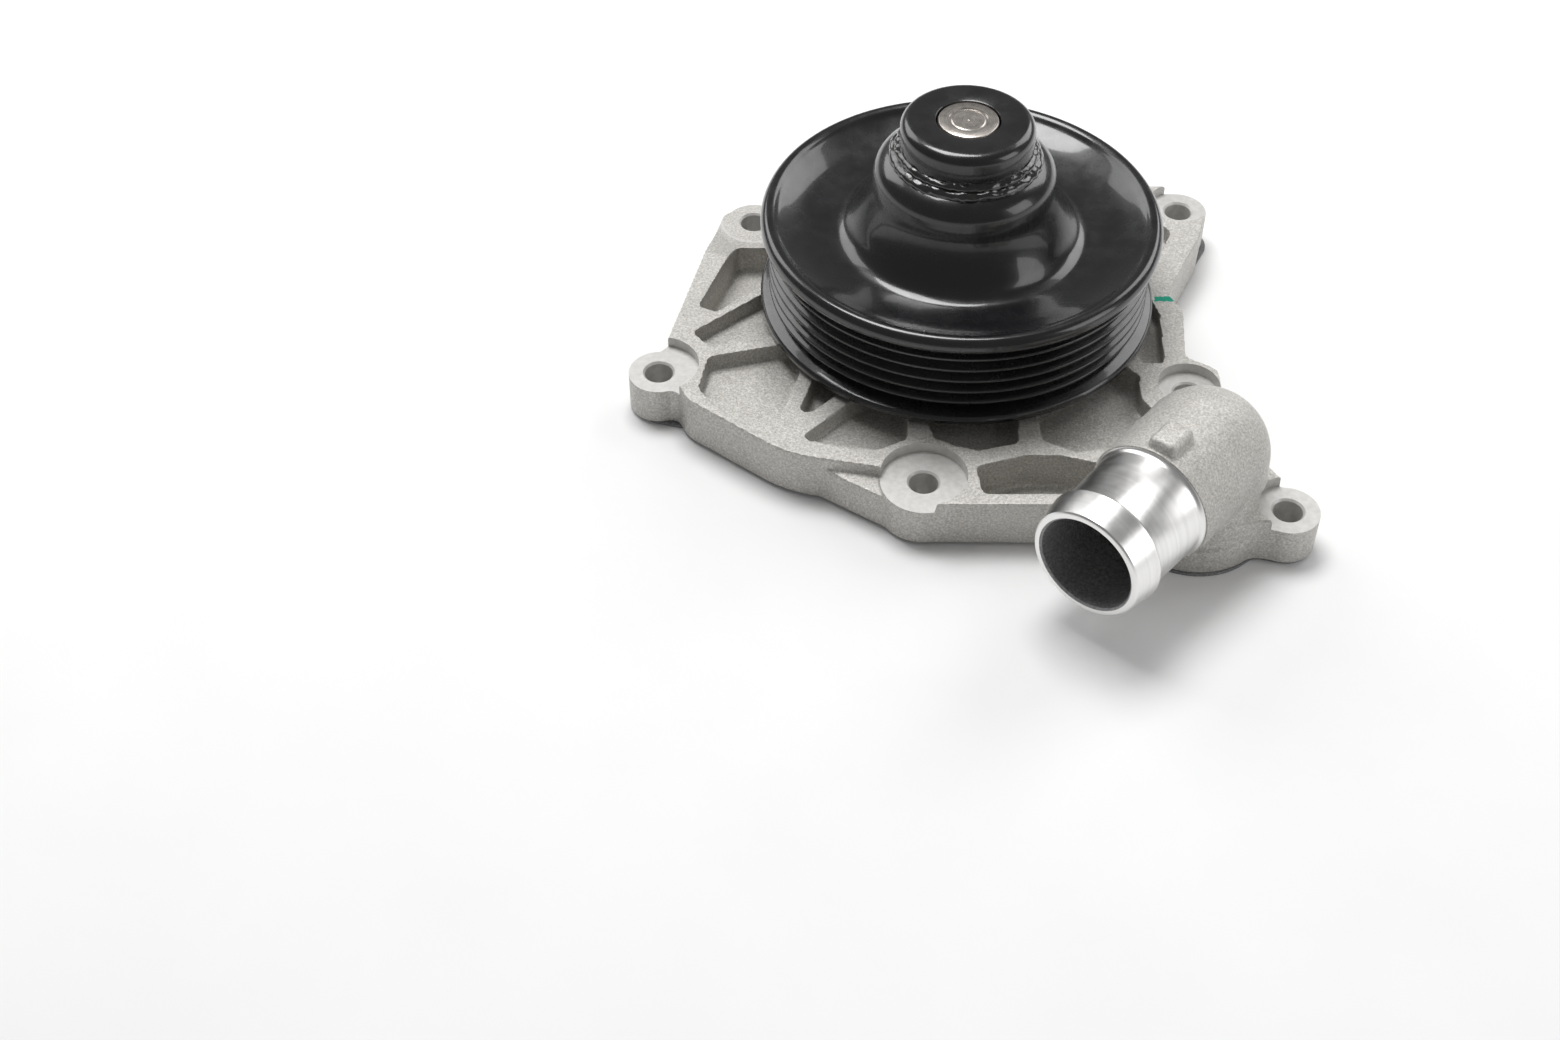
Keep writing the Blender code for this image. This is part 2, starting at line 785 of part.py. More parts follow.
def make_impeller():
    vanes = new_collection("adders_vanes")
    for k in range(VANE_COUNT):
        prism(f"vane_{k}", vane_outline(2 * math.pi * k / VANE_COUNT), 2.4, 11.0, vanes)
    profile = [
        (IMPELLER_R - 0.5, 12.3),
        (IMPELLER_R, 11.8),
        (IMPELLER_R, 10.3),
        (20.0, 10.0),
        (14.0, 8.0),
        (12.5, 3.0),
        (11.5, 2.0),
        (SHAFT_R + GAP, 2.0),
        (SHAFT_R + GAP, 12.3),
    ]
    impeller = turned("impeller", profile, PARTS)
    boolean(impeller, "UNION", vanes)
    finish(baked(impeller), "impeller_metal")


# Face seal between impeller and bearing


def make_face_seal():
    seat = [(12.5, 14.0), (12.5, 12.6), (8.6, 12.6), (8.6, 14.0)]
    finish(turned("seal_seat", seat, PARTS), "seal_ceramic")
    face = [(11.6, 15.8), (12.0, 15.3), (12.0, 14.3), (8.9, 14.3), (8.9, 15.8)]
    finish(turned("seal_face", face, PARTS), "seal_carbon")
    bellows = [(11.6, 18.1), (12.3, 17.2), (11.2, 16.7), (12.0, 16.1), (8.9, 16.1), (8.9, 18.1)]
    finish(turned("seal_bellows", bellows, PARTS), "seal_rubber")
    cup = [
        (16.0, 19.2),
        (16.0, 13.7),
        (18.5, 13.7),
        (18.5, 12.9),
        (15.2, 12.9),
        (15.2, 18.4),
        (9.5, 18.4),
        (9.5, 19.2),
    ]
    finish(turned("seal_cup", cup, PARTS), "seal_brass")
    make_seal_spring()


def make_seal_spring():
    turns, steps, radius, low, high = 2.5, 16, 13.7, 14.0, 17.6
    curve = bpy.data.curves.new("seal_spring", "CURVE")
    curve.dimensions = "3D"
    curve.bevel_depth = 0.5 * MM
    curve.bevel_resolution = 1
    curve.use_fill_caps = True
    spline = curve.splines.new("POLY")
    count = int(turns * steps)
    spline.points.add(count)
    for k, point in enumerate(spline.points):
        angle = 2 * math.pi * k / steps
        height = low + (high - low) * k / count
        point.co = (radius * math.cos(angle) * MM, radius * math.sin(angle) * MM, height * MM, 1)
    finish(new_object("seal_spring", curve, PARTS), "spring_steel")


# Bearing


def make_bearing_race():
    low, high = BEARING_Z
    chamfer = 0.5
    groove_r = BALL_PITCH_R + BALL_R + GAP
    profile = [
        (BEARING_R - chamfer, high),
        (BEARING_R, high - chamfer),
        (BEARING_R, low + chamfer),
        (BEARING_R - chamfer, low),
        (RACE_INNER_R, low),
        (RACE_INNER_R, BALL_ROW_Z - 1.6),
        (groove_r, BALL_ROW_Z - 0.9),
        (groove_r, BALL_ROW_Z + 0.9),
        (RACE_INNER_R, BALL_ROW_Z + 1.6),
        (RACE_INNER_R, high),
    ]
    finish(turned("bearing_race", profile, PARTS), "bearing_steel")


def make_bearing_seals():
    rear, front = BEARING_Z
    for name, low in (("front_bearing_seal", front - 1.8), ("rear_bearing_seal", rear + 0.6)):
        high = low + 1.2
        outer, inner = RACE_INNER_R - GAP, SHAFT_R + GAP
        profile = [(outer, high), (outer, low), (inner, low), (inner, high)]
        finish(turned(name, profile, PARTS), "seal_rubber")


def make_balls():
    cutters = new_collection("cutters_ball_cage")
    cage_profile = [(10.9, 33.4), (10.9, 26.6), (9.3, 26.6), (9.3, 33.4)]
    cage = turned("ball_cage", cage_profile, PARTS)
    for k in range(BALL_COUNT):
        angle = 2 * math.pi * k / BALL_COUNT
        place = Vector((BALL_PITCH_R * math.cos(angle), BALL_PITCH_R * math.sin(angle), BALL_ROW_Z))
        ball = sphere(f"ball_{k + 1}", place, BALL_R, PARTS, 8)
        finish(ball, "bearing_steel", 60)
        pocket = cylinder(f"ball_pocket_{k}", 0, 0, BALL_R + GAP, 7.0, 13.0, cutters, 8)
        pocket.matrix_world = (
            Matrix.Translation((0, 0, BALL_ROW_Z * MM))
            @ Matrix.Rotation(angle, 4, "Z")
            @ Matrix.Rotation(math.radians(90), 4, "Y")
        )
    boolean(cage, "DIFFERENCE", cutters)
    finish(baked(cage), "cage_plastic")


def make_rollers():
    cutters = new_collection("cutters_roller_cage")
    cage_profile = [(11.0, 55.6), (11.0, 44.4), (9.7, 44.4), (9.7, 55.6)]
    cage = turned("roller_cage", cage_profile, PARTS)
    low, high = ROLLER_ROW_Z - ROLLER_LENGTH / 2, ROLLER_ROW_Z + ROLLER_LENGTH / 2
    for k in range(ROLLER_COUNT):
        angle = 2 * math.pi * k / ROLLER_COUNT
        x, y = ROLLER_PITCH_R * math.cos(angle), ROLLER_PITCH_R * math.sin(angle)
        roller = cylinder(f"roller_{k + 1}", x, y, ROLLER_R, low, high, PARTS, 12)
        finish(roller, "bearing_steel", 60)
        cylinder(f"roller_pocket_{k}", x, y, ROLLER_R + GAP, low - GAP, high + GAP, cutters, 8)
    boolean(cage, "DIFFERENCE", cutters)
    finish(baked(cage), "cage_plastic")


clear_scene()
PARTS = new_collection("water_pump")
MATERIALS = {
    "cast_aluminium": new_material("cast_aluminium", (0.62, 0.61, 0.58), 0.55, 0.85),
    "gasket_paper": new_material("gasket_paper", (0.27, 0.27, 0.28), 0.9, 0.0),
    "pulley_paint": new_material("pulley_paint", (0.012, 0.012, 0.013), 0.22, 0.0),
    "shaft_steel": new_material("shaft_steel", (0.55, 0.52, 0.49), 0.3, 1.0),
    "bearing_steel": new_material("bearing_steel", (0.6, 0.6, 0.61), 0.2, 1.0),
    "spring_steel": new_material("spring_steel", (0.5, 0.5, 0.5), 0.35, 1.0),
    "impeller_metal": new_material("impeller_metal", (0.32, 0.31, 0.3), 0.5, 0.9),
    "cage_plastic": new_material("cage_plastic", (0.75, 0.7, 0.55), 0.5, 0.0),
    "seal_rubber": new_material("seal_rubber", (0.02, 0.02, 0.02), 0.7, 0.0),
    "seal_carbon": new_material("seal_carbon", (0.05, 0.05, 0.05), 0.5, 0.0),
    "seal_ceramic": new_material("seal_ceramic", (0.85, 0.84, 0.8), 0.25, 0.0),
    "seal_brass": new_material("seal_brass", (0.72, 0.53, 0.24), 0.35, 1.0),
}
make_housing()
make_gaskets()
make_shaft()
make_pulley_hub()
make_weld_bead()
make_pulley()
make_impeller()
make_face_seal()
make_bearing_race()
make_bearing_seals()
make_balls()
make_rollers()
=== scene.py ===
"""Looks of the engine coolant pump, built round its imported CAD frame.

Lengths are in millimetres and meshes in metres. An outline is a list of corners (x, y, radius).
The casting is shaped as a blank, softened as cast metal is, then machined: mounting face,
spot faces, holes, bores and hose spigot are cut last, so their edges stay crisp.
"""

import math

import bmesh
import bpy
from mathutils import Matrix, Vector, noise


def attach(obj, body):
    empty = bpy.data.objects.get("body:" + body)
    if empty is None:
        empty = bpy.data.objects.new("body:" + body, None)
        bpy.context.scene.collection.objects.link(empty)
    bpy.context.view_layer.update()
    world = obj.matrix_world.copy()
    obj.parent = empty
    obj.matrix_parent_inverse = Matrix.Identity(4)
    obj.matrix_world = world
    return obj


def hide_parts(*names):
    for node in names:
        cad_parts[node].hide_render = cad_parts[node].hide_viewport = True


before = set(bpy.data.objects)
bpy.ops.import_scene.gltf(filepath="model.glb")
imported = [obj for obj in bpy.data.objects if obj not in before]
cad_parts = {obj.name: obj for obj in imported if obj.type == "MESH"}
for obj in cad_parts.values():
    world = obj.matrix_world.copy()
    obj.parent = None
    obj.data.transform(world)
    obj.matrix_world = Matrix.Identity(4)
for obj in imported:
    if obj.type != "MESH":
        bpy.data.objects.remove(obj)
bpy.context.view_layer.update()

MM = 0.001
GAP = 0.3
OVERSHOOT = 5.0

# Levels of the housing above the mounting plane
GASKET_THICKNESS = 0.8
BASE_Z = GASKET_THICKNESS + GAP
LUG_TOP_Z = 11.5
LEDGE_TOP_Z = 11.0
RIM_TOP_Z = 14.5
BOWL_FLOOR_Z = 9.7
DEEP_FLOOR_Z = 3.8
VOLUTE_ROOF_Z = 6.6
CHAMBER_ROOF_Z = 14.0
TOWER_TOP_Z = 56.5
TOWER_R = 19.3
STOCK = 3.0  # metal left on the blank below its mounting face
SKIN = 0.9  # metal left on it elsewhere

# Bolt lugs: centre, and radius of the machined spot face
BOLT_HOLE_R = 3.75
LUG_R = 8.0
MAIN_LUGS = [
    (-55.1, 37.2, 9.5),
    (-79.7, -27.2, 10.7),
    (-11.7, -68.7, 11.0),
    (66.5, 42.3, 8.6),
    (-6.7, 67.1, 8.6),
]
PORT_LUGS = [(58.9, -35.3, 8.1), (78.0, -78.7, 8.6)]

# Inlet elbow and hose spigot
PORT_X = 56.0
PORT_Y = -71.0
PORT_R = 12.75
PORT_FLANGE_R = 19.0
SPIGOT_AZIMUTH = math.radians(229.4)
SPIGOT_AXIS_Z = 24.0
SPIGOT_REACH = 50.2
SPIGOT_BORE_R = 12.5
ELBOW_R = 16.3

# Impeller chamber and twin volute: the spiral's radius grows with the angle
CHAMBER_R = 41.0
VOLUTE_START_R = 42.5
VOLUTE_LINEAR = 0.055
VOLUTE_SQUARE = 0.00095

# Shaft and bearing
SHAFT_R = 7.95
SHAFT_NOSE_Z = 72.5
BEARING_R = 15.0
BEARING_Z = (23.0, 59.0)

# Belt pulley and its hub
RIB_PITCH = 3.56
RIB_COUNT = 6
RIB_TIP_R = 50.7
RIB_ROOT_R = 48.0
FIRST_RIDGE_Z = 35.9
RIM_R = 52.9
RIM_INNER_R = 45.2
RIM_BOTTOM_Z = 15.5
HUB_R = 17.3
HUB_BOTTOM_Z = 60.2

VOXEL = 0.5  # size of the cells that the casting is softened on

# Teal paint mark across the rim
MARK_Y = -0.7
MARK_HALF_WIDTH = 1.05
MARK_START_X = 54.1
MARK_LOWEST_Z = 13.5

# Outlines of the gaskets and of the flange
MAIN_GASKET_OUTLINE = [
    (-66.0, 36.0, 6.5),
    (-58.0, 46.5, 6.5),
    (-42.0, 39.5, 5.0),
    (-32.0, 49.0, 20.0),
    (-12.5, 58.5, 4.0),
    (-15.0, 68.0, 5.0),
    (-6.7, 77.5, 6.5),
    (1.6, 68.0, 6.0),
    (3.5, 64.0, 5.0),
    (20.0, 65.6, 30.0),
    (41.0, 62.5, 16.0),
    (58.0, 47.0, 4.0),
    (68.5, 51.5, 7.0),
    (77.0, 42.0, 7.0),
    (51.5, -7.0, 6.0),
    (51.8, -32.0, 20.0),
    (34.0, -53.0, 20.0),
    (5.0, -62.5, 5.0),
    (-11.0, -80.5, 7.0),
    (-20.5, -64.0, 6.0),
    (-44.0, -59.5, 30.0),
    (-71.0, -37.5, 8.0),
    (-82.0, -34.5, 6.5),
    (-90.0, -24.0, 6.5),
    (-56.0, 7.0, 6.0),
    (-54.0, 24.0, 6.0),
]

PORT_GASKET_OUTLINE = [
    (51.2, -36.0, 4.0),
    (53.0, -27.8, 6.0),
    (66.0, -27.8, 6.5),
    (65.0, -44.0, 8.0),
    (64.6, -52.0, 6.0),
    (75.0, -69.3, 3.0),
    (86.0, -72.5, 7.0),
    (84.5, -88.0, 7.0),
    (70.0, -84.0, 4.0),
    (56.0, -98.5, 18.0),
    (31.0, -72.0, 18.0),
    (42.0, -56.5, 10.0),
    (50.0, -51.5, 5.0),
]

BODY_OUTLINE = [
    (-63.6, 41.0, 4.0),
    (-52.0, 45.2, 5.0),
    (-42.0, 42.0, 5.0),
    (-33.0, 49.5, 15.0),
    (-14.4, 60.5, 2.0),
    (-14.4, 69.0, 2.0),
    (1.2, 69.0, 2.0),
    (5.0, 65.8, 3.0),
    (21.0, 67.2, 30.0),
    (42.5, 63.8, 14.0),
    (58.5, 50.4, 3.0),
    (68.0, 50.3, 2.0),
    (74.5, 42.0, 2.0),
    (70.5, 27.5, 6.0),
    (58.2, 2.0, 4.0),
    (61.3, -6.0, 3.0),
    (59.5, -24.5, 3.0),
    (67.5, -29.5, 4.0),
    (67.0, -53.0, 6.0),
    (77.5, -70.7, 2.0),
    (84.5, -77.0, 2.0),
    (80.0, -86.6, 3.0),
    (70.0, -85.0, 4.0),
    (56.0, -90.0, 14.0),
    (39.0, -80.2, 6.0),
    (0.0, -79.6, 2.0),
    (-9.0, -79.6, 2.0),
    (-21.0, -71.0, 3.0),
    (-22.0, -66.5, 3.0),
    (-46.0, -61.5, 30.0),
    (-72.0, -41.0, 10.0),
    (-74.5, -34.6, 3.0),
    (-81.5, -35.0, 3.0),
    (-87.5, -28.0, 3.0),
    (-77.6, -17.0, 2.0),
]

# Blind pockets between the ribs, open at the top: corners and floor
POCKETS = {
    "upper_left": (
        [
            (-59.6, 24.5, 2.0),
            (-50.0, 24.5, 2.0),
            (-49.0, 9.0, 2.0),
            (-65.0, -6.0, 1.6),
            (-69.6, -3.5, 1.6),
        ],
        DEEP_FLOOR_Z,
    ),
    "left": (
        [
            (-71.0, -14.5, 1.6),
            (-50.0, 3.5, 2.0),
            (-44.5, -1.0, 2.0),
            (-44.5, -14.5, 2.0),
            (-66.5, -20.0, 1.6),
        ],
        BOWL_FLOOR_Z,
    ),
    "left_bowl": (
        [
            (-66.5, -24.5, 2.0),
            (-42.0, -18.5, 2.0),
            (-39.8, -21.5, 1.6),
            (-48.6, -50.6, 3.0),
            (-55.0, -51.6, 5.0),
            (-63.5, -44.5, 5.0),
            (-68.8, -37.0, 4.0),
        ],
        BOWL_FLOOR_Z,
    ),
    "rib_notch": (
        [
            (-36.5, -25.5, 1.6),
            (-42.8, -46.0, 1.6),
            (-39.8, -46.0, 1.6),
            (-28.0, -34.5, 1.6),
        ],
        BOWL_FLOOR_Z,
    ),
    "front_left_bowl": (
        [
            (-42.5, -55.8, 1.6),
            (-24.5, -37.0, 1.6),
            (-14.5, -42.0, 1.6),
            (-15.5, -56.0, 1.6),
            (-23.0, -59.8, 2.0),
            (-32.0, -58.8, 8.0),
        ],
        BOWL_FLOOR_Z,
    ),
    "front_recess": (
        [
            (-11.5, -44.0, 1.6),
            (-8.0, -57.0, 1.6),
            (2.5, -60.2, 2.0),
            (12.5, -57.5, 1.6),
            (14.0, -42.5, 1.6),
        ],
        BOWL_FLOOR_Z,
    ),
    "front_right_bowl": (
        [
            (19.0, -56.5, 1.6),
            (18.0, -41.0, 1.6),
            (38.5, -23.0, 1.6),
            (46.2, -32.0, 2.0),
            (45.4, -40.5, 6.0),
            (50.5, -49.0, 2.0),
            (36.5, -59.0, 3.0),
            (27.5, -60.8, 2.0),
        ],
        BOWL_FLOOR_Z,
    ),
    "front": (
        [
            (1.6, -66.2, 1.6),
            (14.0, -62.2, 3.0),
            (23.0, -62.2, 3.0),
            (38.0, -67.0, 2.0),
            (38.0, -75.6, 1.6),
            (2.6, -75.6, 1.6),
        ],
        DEEP_FLOOR_Z,
    ),
    "right": (
        [
            (42.5, -16.0, 1.6),
            (48.0, -27.0, 1.6),
            (53.4, -27.0, 1.6),
            (54.6, -7.0, 3.0),
            (52.0, 3.5, 3.0),
            (44.0, 3.5, 2.0),
        ],
        BOWL_FLOOR_Z,
    ),
    "upper_right": (
        [
            (43.5, 8.0, 2.0),
            (53.0, 8.0, 2.0),
            (62.5, 29.0, 3.0),
            (53.5, 38.5, 3.0),
            (36.0, 26.0, 2.0),
        ],
        BOWL_FLOOR_Z,
    ),
}

# Pockets between radial ribs on the back of the flange: start and end angle, outer radius
BACK_SECTORS = [(42.0, 66.0, 61.0), (71.0, 89.0, 59.0), (95.0, 113.0, 55.5), (118.0, 139.0, 53.0)]
SECTOR_INNER_R = 44.5


# Mesh helpers


def rounded(corners, step_degrees=6):
    """The points of a closed outline whose corners (x, y, radius) are rounded by arcs."""
    points = []
    for i, (x, y, radius) in enumerate(corners):
        here = Vector((x, y))
        back = (Vector(corners[i - 1][:2]) - here).normalized()
        ahead = (Vector(corners[(i + 1) % len(corners)][:2]) - here).normalized()
        if radius <= 0:
            points.append((x, y))
            continue
        half = back.angle(ahead) / 2
        centre = here + (back + ahead).normalized() * radius / math.sin(half)
        first = here + back * radius / math.tan(half) - centre
        turn = (here + ahead * radius / math.tan(half) - centre).angle_signed(first)
        count = max(1, round(math.degrees(abs(turn)) / step_degrees))
        for k in range(count + 1):
            points.append(tuple(centre + Matrix.Rotation(turn * k / count, 2) @ first))
    return points


def flowing(points, parts=4):
    """A smooth open line (Catmull-Rom) through points."""
    line = []
    ends = [points[0], *points, points[-1]]
    for i in range(1, len(points)):
        p0, p1, p2, p3 = (Vector(p) for p in ends[i - 1 : i + 3])
        for k in range(parts):
            t = k / parts
            linear = (p2 - p0) * t
            square = (2 * p0 - 5 * p1 + 4 * p2 - p3) * t**2
            cubic = (3 * p1 - p0 - 3 * p2 + p3) * t**3
            line.append(tuple(0.5 * (2 * p1 + linear + square + cubic)))
    line.append(tuple(points[-1]))
    return line


def circle_points(x, y, radius, steps=64):
    angles = [2 * math.pi * k / steps for k in range(steps)]
    return [(x + radius * math.cos(a), y + radius * math.sin(a)) for a in angles]


def object_from_bmesh(name, shape, material=None, matrix=None):
    bmesh.ops.recalc_face_normals(shape, faces=shape.faces)
    if matrix is not None:
        bmesh.ops.transform(shape, matrix=matrix, verts=shape.verts)
    mesh = bpy.data.meshes.new(name)
    shape.to_mesh(mesh)
    shape.free()
    if material is not None:
        mesh.materials.append(material)
    obj = bpy.data.objects.new(name, mesh)
    bpy.context.scene.collection.objects.link(obj)
    return obj


def prism(name, outline, low, high, material=None):
    shape = bmesh.new()
    floor = shape.faces.new([shape.verts.new((x * MM, y * MM, low * MM)) for x, y in outline])
    top = bmesh.ops.extrude_face_region(shape, geom=[floor])["geom"]
    lifted = [item for item in top if isinstance(item, bmesh.types.BMVert)]
    bmesh.ops.translate(shape, verts=lifted, vec=(0, 0, (high - low) * MM))
    return object_from_bmesh(name, shape, material)


def lathe(name, profile, material=None, steps=96, matrix=None, bump=None):
    """Turns a line of (radius, height) about Z. A line that leaves the axis is closed on itself."""
    shape = bmesh.new()
    rings = []
    for radius, height in profile:
        if radius < 1e-6:
            rings.append([shape.verts.new((0, 0, height * MM))])
            continue
        ring = []
        for k in range(steps):
            angle = 2 * math.pi * k / steps
            r, z = bump(angle, radius, height) if bump else (radius, height)
            ring.append(shape.verts.new((r * math.cos(angle) * MM, r * math.sin(angle) * MM, z * MM)))
        rings.append(ring)
    pairs = list(zip(rings, rings[1:]))
    if len(rings[0]) > 1 and len(rings[-1]) > 1:
        pairs.append((rings[-1], rings[0]))
    for upper, lower in pairs:
        for k in range(steps):
            n = (k + 1) % steps
            above = [upper[k % len(upper)], upper[n % len(upper)]]
            below = [lower[n % len(lower)], lower[k % len(lower)]]
            corners = list(dict.fromkeys(above + below))
            if len(corners) > 2:
                shape.faces.new(corners)
    return object_from_bmesh(name, shape, material, matrix)


def cylinder(name, x, y, radius, low, high, material=None, steps=72, matrix=None):
    profile = [(0, high), (radius, high), (radius, low), (0, low)]
    place = Matrix.Translation((x * MM, y * MM, 0)) if matrix is None else matrix
    return lathe(name, profile, material, steps, place)


def ball(name, place, radius, material=None, steps=64):
    rings = 32
    angles = [math.pi * k / rings for k in range(1, rings)]
    side = [(radius * math.sin(a), radius * math.cos(a)) for a in angles]
    profile = [(0, radius), *side, (0, -radius)]
    return lathe(name, profile, material, steps, Matrix.Translation(Vector(place) * MM))


def apply_modifiers(obj):
    graph = bpy.context.evaluated_depsgraph_get()
    mesh = bpy.data.meshes.new_from_object(obj.evaluated_get(graph))
    obj.modifiers.clear()
    obj.data = mesh


def combine(obj, operation, tools):
    """Cuts tools from obj, or joins them to it, and removes them."""
    for tool in tools:
        modifier = obj.modifiers.new(tool.name, "BOOLEAN")
        modifier.operation = operation
        modifier.solver = "MANIFOLD"
        modifier.material_mode = "TRANSFER"
        modifier.object = tool
    apply_modifiers(obj)
    for tool in tools:
        bpy.data.objects.remove(tool)


def shade(obj, angle=35):
    obj.data.shade_smooth()
    obj.data.set_sharp_from_angle(angle=math.radians(angle))


def soften(obj, steps, factor=0.5, group=""):
    modifier = obj.modifiers.new("soften", "SMOOTH")
    modifier.factor = factor
    modifier.iterations = steps
    modifier.vertex_group = group
    apply_modifiers(obj)


def volute_outline():
    """Two spirals, half a turn apart, that each open into an outlet corner."""
    first = [(41.5, 5.0), (45.5, 5.5), (48.5, 8.5), (59.0, 32.0), (58.6, 35.0)]
    second = [(-43.5, -7.0), (-48.0, -7.0), (-57.5, -6.5), (-72.5, -22.0), (-72.0, -25.0)]
    points = []
    for outlet, start in ((first, 180), (second, 0)):
        for turn in range(0, 127, 3):
            radius = VOLUTE_START_R + VOLUTE_LINEAR * turn + VOLUTE_SQUARE * turn**2
            angle = math.radians(start - turn)
            points.append((radius * math.cos(angle), radius * math.sin(angle)))
        points += list(reversed(outlet))
    return points


def spigot_matrix(along=0.0):
    """Places an object's Z on the spigot's axis, its origin that far back from the end face."""
    reach = SPIGOT_REACH - along
    x = PORT_X + reach * math.cos(SPIGOT_AZIMUTH)
    y = PORT_Y + reach * math.sin(SPIGOT_AZIMUTH)
    turn = Matrix.Rotation(SPIGOT_AZIMUTH, 4, "Z") @ Matrix.Rotation(math.radians(90), 4, "Y")
    return Matrix.Translation(Vector((x, y, SPIGOT_AXIS_Z)) * MM) @ turn


# Procedural materials


class Recipe:
    """A Principled material and short ways to add nodes to it."""

    def __init__(self, name, colour, roughness, metallic, coat=0.0):
        self.material = bpy.data.materials.new(name)
        self.material.use_nodes = True
        self.tree = self.material.node_tree
        self.shader = self.tree.nodes["Principled BSDF"]
        self.set("Base Color", (*colour, 1.0))
        self.set("Roughness", roughness)
        self.set("Metallic", metallic)
        self.set("Coat Weight", coat)
        self.set("Coat Roughness", 0.06)
        self.place = self.add("ShaderNodeTexCoord").outputs["Object"]

    def set(self, socket, value):
        self.shader.inputs[socket].default_value = value

    def add(self, kind, **settings):
        node = self.tree.nodes.new(kind)
        for name, value in settings.items():
            setattr(node, name, value)
        return node

    def link(self, output, target, socket):
        self.tree.links.new(output, target.inputs[socket])

    def noise(self, size, detail=3.0, rough=0.55):
        """Noise whose features are about size millimetres across."""
        node = self.add("ShaderNodeTexNoise")
        node.inputs["Scale"].default_value = 1.0 / (size * MM)
        node.inputs["Detail"].default_value = detail
        node.inputs["Roughness"].default_value = rough
        self.link(self.place, node, "Vector")
        return node.outputs["Fac"]

    def maths(self, operation, a, b=0.0):
        node = self.add("ShaderNodeMath", operation=operation)
        for i, value in enumerate((a, b)):
            if isinstance(value, (int, float)):
                node.inputs[i].default_value = value
            else:
                self.link(value, node, i)
        return node.outputs[0]

    def ramp(self, factor, stops):
        node = self.add("ShaderNodeValToRGB")
        while len(node.color_ramp.elements) < len(stops):
            node.color_ramp.elements.new(0.5)
        for element, (position, colour) in zip(node.color_ramp.elements, stops):
            element.position = position
            element.color = (*colour, 1.0) if isinstance(colour, tuple) else (colour,) * 3 + (1.0,)
        self.link(factor, node, "Fac")
        return node.outputs["Color"]

    def mix(self, factor, a, b):
        node = self.add("ShaderNodeMix", data_type="RGBA")
        self.link(factor, node, "Factor")
        for socket, value in (("A", a), ("B", b)):
            target = next(s for s in node.inputs if s.name == socket and s.type == "RGBA")
            if isinstance(value, tuple):
                target.default_value = (*value, 1.0)
            else:
                self.tree.links.new(value, target)
        return next(s for s in node.outputs if s.type == "RGBA")

    def bump(self, heights):
        """Bump from (height, depth in millimetres) pairs."""
        normal = None
        for height, depth in heights:
            node = self.add("ShaderNodeBump")
            node.inputs["Distance"].default_value = depth * MM
            self.link(height, node, "Height")
            if normal is not None:
                self.link(normal, node, "Normal")
            normal = node.outputs["Normal"]
        self.link(normal, self.shader, "Normal")

    def colour(self, output):
        self.link(output, self.shader, "Base Color")

    def roughness(self, output):
        self.link(output, self.shader, "Roughness")

    def axis_radius(self):
        """Distance from the shaft's axis, in millimetres."""
        parts = self.add("ShaderNodeSeparateXYZ")
        self.link(self.place, parts, 0)
        x2 = self.maths("MULTIPLY", parts.outputs["X"], parts.outputs["X"])
        y2 = self.maths("MULTIPLY", parts.outputs["Y"], parts.outputs["Y"])
        return self.maths("MULTIPLY", self.maths("SQRT", self.maths("ADD", x2, y2)), 1.0 / MM)

    def lines(self, value, pitch):
        """Fine irregular lines across a length in millimetres, as a lathe tool leaves."""
        node = self.add("ShaderNodeTexNoise", noise_dimensions="1D")
        node.inputs["Scale"].default_value = 1.0 / pitch
        node.inputs["Detail"].default_value = 2.0
        self.link(value, node, "W")
        return node.outputs["Fac"]


def cast_aluminium():
    m = Recipe("cast_skin", (0.51, 0.495, 0.465), 0.52, 0.4)
    grain = m.noise(0.55, 3.0, 0.75)
    cloud = m.noise(9.0, 3.0)
    dark, plain, light = (0.27, 0.26, 0.24), (0.51, 0.495, 0.465), (0.8, 0.785, 0.755)
    tone = m.ramp(grain, [(0.34, dark), (0.5, plain), (0.66, light)])
    shade_of = m.ramp(cloud, [(0.3, (0.48, 0.465, 0.435)), (0.65, (0.56, 0.545, 0.515))])
    even = m.add("ShaderNodeMix", data_type="RGBA")
    even.inputs[0].default_value = 0.4
    m.tree.links.new(tone, even.inputs[6])
    m.tree.links.new(shade_of, even.inputs[7])
    parts = m.add("ShaderNodeSeparateXYZ")
    m.link(m.place, parts, 0)
    wobble = m.maths("MULTIPLY", m.maths("SUBTRACT", m.noise(0.8), 0.5), 0.0012)
    middle = m.maths("ADD", parts.outputs["Y"], -MARK_Y * MM)
    band = m.maths("ABSOLUTE", m.maths("ADD", middle, wobble))
    across = m.maths("LESS_THAN", band, MARK_HALF_WIDTH * MM)
    along = m.maths("GREATER_THAN", m.maths("ADD", parts.outputs["X"], wobble), MARK_START_X * MM)
    top = m.maths("GREATER_THAN", parts.outputs["Z"], MARK_LOWEST_Z * MM)
    mark = m.maths("MULTIPLY", m.maths("MULTIPLY", across, along), top)
    m.colour(m.mix(mark, even.outputs[2], (0.002, 0.3, 0.2)))
    m.roughness(m.ramp(m.noise(1.5), [(0.3, 0.44), (0.7, 0.6)]))
    m.bump([(grain, 0.13), (m.noise(2.2, 2.0), 0.12)])
    return m.material


